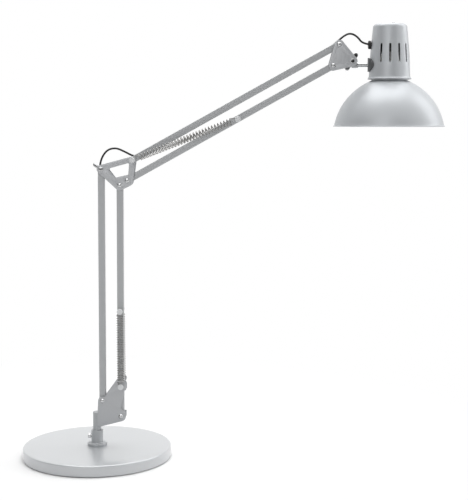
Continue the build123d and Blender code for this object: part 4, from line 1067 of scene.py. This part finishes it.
# ---- lamp head
@dataclass
class LampHead(Assembly):
    """Slotted cap, shade, holder and the bolt that carries them."""

    cap_top: float = 61.0 * MM
    cap_foot: float = -21.5 * MM
    top_radius: float = 25.2 * MM
    foot_radius: float = 31.3 * MM
    middle_radius: float = 29.0 * MM
    lip_radius: float = 33.0 * MM
    wall: float = 1.2 * MM
    shoulder: float = 6.0 * MM
    slots: int = 10
    slot_step: float = 27.5
    slot_width: float = 3.3 * MM
    slot_length: float = 27.6 * MM
    slot_height: float = 17.3 * MM
    bolt_hole: float = 3.15 * MM
    lead_hole: float = 4.05 * MM
    bolt_radius: float = 3.1 * MM
    collar_radius: float = 4.4 * MM
    shade_wall: float = 1.0 * MM
    shade_rim: tuple[float, float] = (83.0, 0.0)
    shade_shoulder: tuple[float, float] = (58.3, 48.3)
    shade_neck: tuple[float, float] = (27.1, 69.2)
    shade_bend: float = 88.2 * MM

    def cap_radius(self, height: float, inset: float = 0.0) -> float:
        """Radius of the cap's wall at a height over the bolt."""
        share = (height - self.cap_foot) / (self.cap_top - self.cap_foot)
        bow = 4 * (self.middle_radius - (self.foot_radius + self.top_radius) / 2)
        straight = self.foot_radius + (self.top_radius - self.foot_radius) * share
        return straight + bow * share * (1 - share) - inset

    def capsule(self, name: str, width: float, length: float, depth: float) -> Piece:
        """A cutter with round ends that lies along X and stands tall along Z."""
        deselect()
        bpy.ops.mesh.primitive_cylinder_add(vertices=24, radius=width / 2, depth=depth)
        tool = bpy.context.object
        tool.name = name
        tool.rotation_euler = (0, radians(90), 0)
        settle(tool)
        for vertex in tool.data.vertices:
            if abs(vertex.co.z) > TINY:
                vertex.co.z += copysign((length - width) / 2, vertex.co.z)
        return tool

    def build_cap(self) -> None:
        """The cap: a spun shell with a lip, upright slots and its holes."""
        foot, top, wall = self.cap_foot, self.cap_top, self.wall
        low, high, steps = foot + 5.0 * MM, top - self.shoulder, 9
        heights = [low + (high - low) * step / steps for step in range(steps + 1)]
        lip, inner_foot = self.lip_radius, (self.foot_radius - wall, foot)
        outer = [inner_foot, (lip - 0.4 * MM, foot), (lip, foot + 0.4 * MM),
                 (lip, foot + 1.0 * MM), (lip - 0.9 * MM, foot + 2.2 * MM),
                 (self.cap_radius(foot + 4 * MM) + 0.15 * MM, foot + 3.6 * MM)]
        outer += [(self.cap_radius(z), z) for z in heights]
        corner = (self.cap_radius(high) - self.shoulder, high)
        outer += arc_rings(corner, self.shoulder, 8, 90, 9)
        outer += [(0.012, top), (0.005, top), (0, top)]
        shell = turned("lamp_cap_outer", outer, 128)
        inside = [(0, top - wall), (0.006, top - wall), (0.014, top - wall)]
        inside += arc_rings(corner, self.shoulder - wall, 90, 8, 7)
        inside += [(self.cap_radius(z, wall), z) for z in reversed(heights)]
        inside += [inner_foot]
        lining = turned("lamp_cap_inner", inside, 128)
        piece = joined([shell, lining], "lamp_cap_turned")
        edit_all(piece, WELD)
        bpy.ops.mesh.normals_make_consistent(inside=False)
        bpy.ops.object.mode_set(mode="OBJECT")
        for index in range(self.slots):
            turn = (index - (self.slots - 1) / 2) * self.slot_step
            tool = self.capsule(f"slot_{index}", self.slot_width, self.slot_length, 20 * MM)
            place = Matrix.Rotation(radians(turn), 4, "Z")
            move_to(tool, place @ Matrix.Translation((28 * MM, 0, self.slot_height)))
            cut(piece, tool)
        lead_height = node_centre("cord_grommet").z - BOLT_Z
        for height, radius in ((0.0, self.bolt_hole), (lead_height, self.lead_hole)):
            drill(piece, radius, 24 * MM, rightwards(-42 * MM, height), 32)
        move_to(piece, Matrix.Translation((HEAD_X, 0, BOLT_Z)))
        soften(piece, 0.22 * MM, 2, 50)
        self.dress(smooth(piece, 38), "head_paint", "head", ["lamp_cap"])

    def skin(self, inset: float, steps: int) -> Rings:
        """The shade's section from its rim to its neck, over the rim's height."""
        rim, shoulder, neck = (Vector(point) * MM for point in (
            self.shade_rim, self.shade_shoulder, self.shade_neck))
        bend = self.shade_bend
        chord = shoulder - rim
        left = Vector((-chord.y, chord.x)).normalized()
        centre = (rim + shoulder) / 2 + left * sqrt(bend ** 2 - chord.length ** 2 / 4)
        low, high = (degrees(atan2(end.y - centre.y, end.x - centre.x))
                     for end in (rim, shoulder))
        rings = arc_rings((centre.x, centre.y), bend - inset, low, high, steps)
        run = neck - shoulder
        turn = 2 * (degrees(atan2(run.y, run.x)) - (high + 90))
        top_bend = run.length / 2 / sin(radians(turn / 2))
        outwards = Vector((cos(radians(high)), sin(radians(high))))
        top_centre = shoulder - outwards * top_bend
        rings += arc_rings((top_centre.x, top_centre.y), top_bend - inset, high, high + turn,
                           steps)[1:]
        return rings

    def build_shade(self) -> None:
        """The spun shade with a turned rim and a neck that ends in a small flange."""
        low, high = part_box("shade")
        top, neck = high.z - low.z, self.shade_neck[0] * MM
        rings = mm((82.2, 0.2), (82.6, 0.0), (83.9, 0.0), (84.2, 0.4), (84.2, 0.9), (83.8, 1.3),
                   (83.2, 1.5))
        rings += [ring for ring in self.skin(0.0, 16) if ring[1] > 2.2 * MM]
        rings += [(neck, 69.5 * MM), (neck, top - 1.0 * MM), (28.9 * MM, top - 1.0 * MM),
                  (28.9 * MM, top), (26.1 * MM, top), (26.1 * MM, 69.2 * MM)]
        rings += [ring for ring in reversed(self.skin(self.shade_wall, 16))
                  if 1.0 * MM < ring[1] < 67.8 * MM]
        rings += rings[:1]
        piece = turned("shade_spun", rings, 160, closed=True)
        move_to(piece, Matrix.Translation((HEAD_X, 0, low.z)))
        self.dress(smooth(piece, 42), "head_paint", "head", ["shade"])

    def build_bulb(self) -> None:
        """A frosted bulb and its screw cap."""
        low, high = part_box("bulb_glass")
        radius = (high.x - low.x) / 2
        rings = [(0, 0)] + arc_rings((0, radius), radius, -84, 28, 16)
        neck, length = 13.0 * MM, high.z - low.z
        start_r, start_z = rings[-1]
        for step in range(1, 9):
            t = step / 8
            ease = t * t * (3 - 2 * t)
            rings.append((start_r + (neck - start_r) * (0.55 * t + 0.45 * ease),
                          start_z + (length - start_z) * t))
        rings.append((0, length))
        glass = turned("bulb_glass_blown", rings, 72)
        move_to(glass, Matrix.Translation((HEAD_X, 0, low.z)))
        self.dress(smooth(glass, 60), "bulb_glass", "head", ["bulb_glass"])
        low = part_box("bulb_cap")[0]
        pitch = 3.6 * MM
        rings = mm((0, 0), (12.4, 0))
        for turn in range(4):
            z = 2.0 * MM + turn * pitch
            rings += [(12.4 * MM, z), (13.2 * MM, z + pitch * 0.4), (12.4 * MM, z + pitch * 0.8)]
        rings += mm((12.2, 16.6), (10.4, 18.6), (5.0, 20.0), (0, 20.0))
        cap = turned("bulb_cap_rolled", rings, 48)
        move_to(cap, Matrix.Translation((HEAD_X, 0, low.z)))
        self.dress(smooth(cap, 50), "zinc_steel", "head", ["bulb_cap"])

    def build_bolt(self) -> None:
        """The horizontal bolt with its collar."""
        low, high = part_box("head_bolt")
        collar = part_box("tilt_knuckle")[1].x
        radius, wide, bevel = self.bolt_radius, self.collar_radius, 0.3 * MM
        at, length = collar - low.x, high.x - low.x
        rings = [(0, 0), (radius, 0), (radius, at), (wide - bevel, at), (wide, at + bevel),
                 (wide, at + 1.3 * MM), (wide - bevel, at + 1.6 * MM), (radius, at + 1.6 * MM)]
        rings += [(radius, length - 0.5 * MM), (radius - 0.5 * MM, length), (0, length)]
        piece = turned("head_bolt_turned", rings, 40)
        move_to(piece, rightwards(low.x, BOLT_Z))
        self.dress(smooth(piece, 40), "bright_steel", "knuckle", ["head_bolt"])

    def build_grommet(self) -> None:
        """The rubber grommet in the cap's wall."""
        low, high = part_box("cord_grommet")
        flange, neck, bore = 6.3 * MM, 4.0 * MM, 1.55 * MM
        thick, length = 3.9 * MM, high.x - low.x
        rings = [(bore, 0)] + arc_rings((flange - 1.2 * MM, 1.2 * MM), 1.2 * MM, 270, 360, 5)
        rings += [(flange, thick), (neck, thick), (neck, length), (bore, length), (bore, 0)]
        piece = turned("cord_grommet_moulded", rings, 40, closed=True)
        move_to(piece, rightwards(low.x, (low.z + high.z) / 2))
        self.dress(smooth(piece, 40), "lead_black", "head", ["cord_grommet"])

    def build(self) -> None:
        """Make the head."""
        self.build_cap()
        self.build_shade()
        self.build_bulb()
        self.build_bolt()
        self.build_grommet()
        for node, slot, body, edge, angle in (
            ("shade_carrier_ring", "head_paint", "head", 0, 40),
            ("saddle_washer", "saddle_grey", "head", 0.4, 50),
            ("inner_saddle_washer", "zinc_steel", "head", 0.2, 50),
            ("head_bolt_nut", "zinc_steel", "knuckle", 0.3, 40),
            ("tilt_knuckle", "knuckle_metal", "knuckle", 0.5, 40),
            ("lamp_holder", "holder_black", "head", 0.4, 40),
            ("holder_screws", "bright_steel", "head", 0, 40),
        ):
            self.polish(node, slot, body, edge=edge * MM, angle=angle)


def main() -> None:
    """Build the studio and the lamp, and report each piece."""
    logging.basicConfig(level=logging.INFO, format="%(name)s %(message)s")
    Studio().build()
    finishes = FinishBook()
    for kind in (Lead, WeightedBase, Arms, Fasteners, BalanceSprings, LampHead):
        assembly = kind(finishes)
        assembly.build()
        for name in assembly.made:
            LOG.info("%s: %s", kind.__name__, name)
    deselect()


if __name__ == "__main__":
    main()
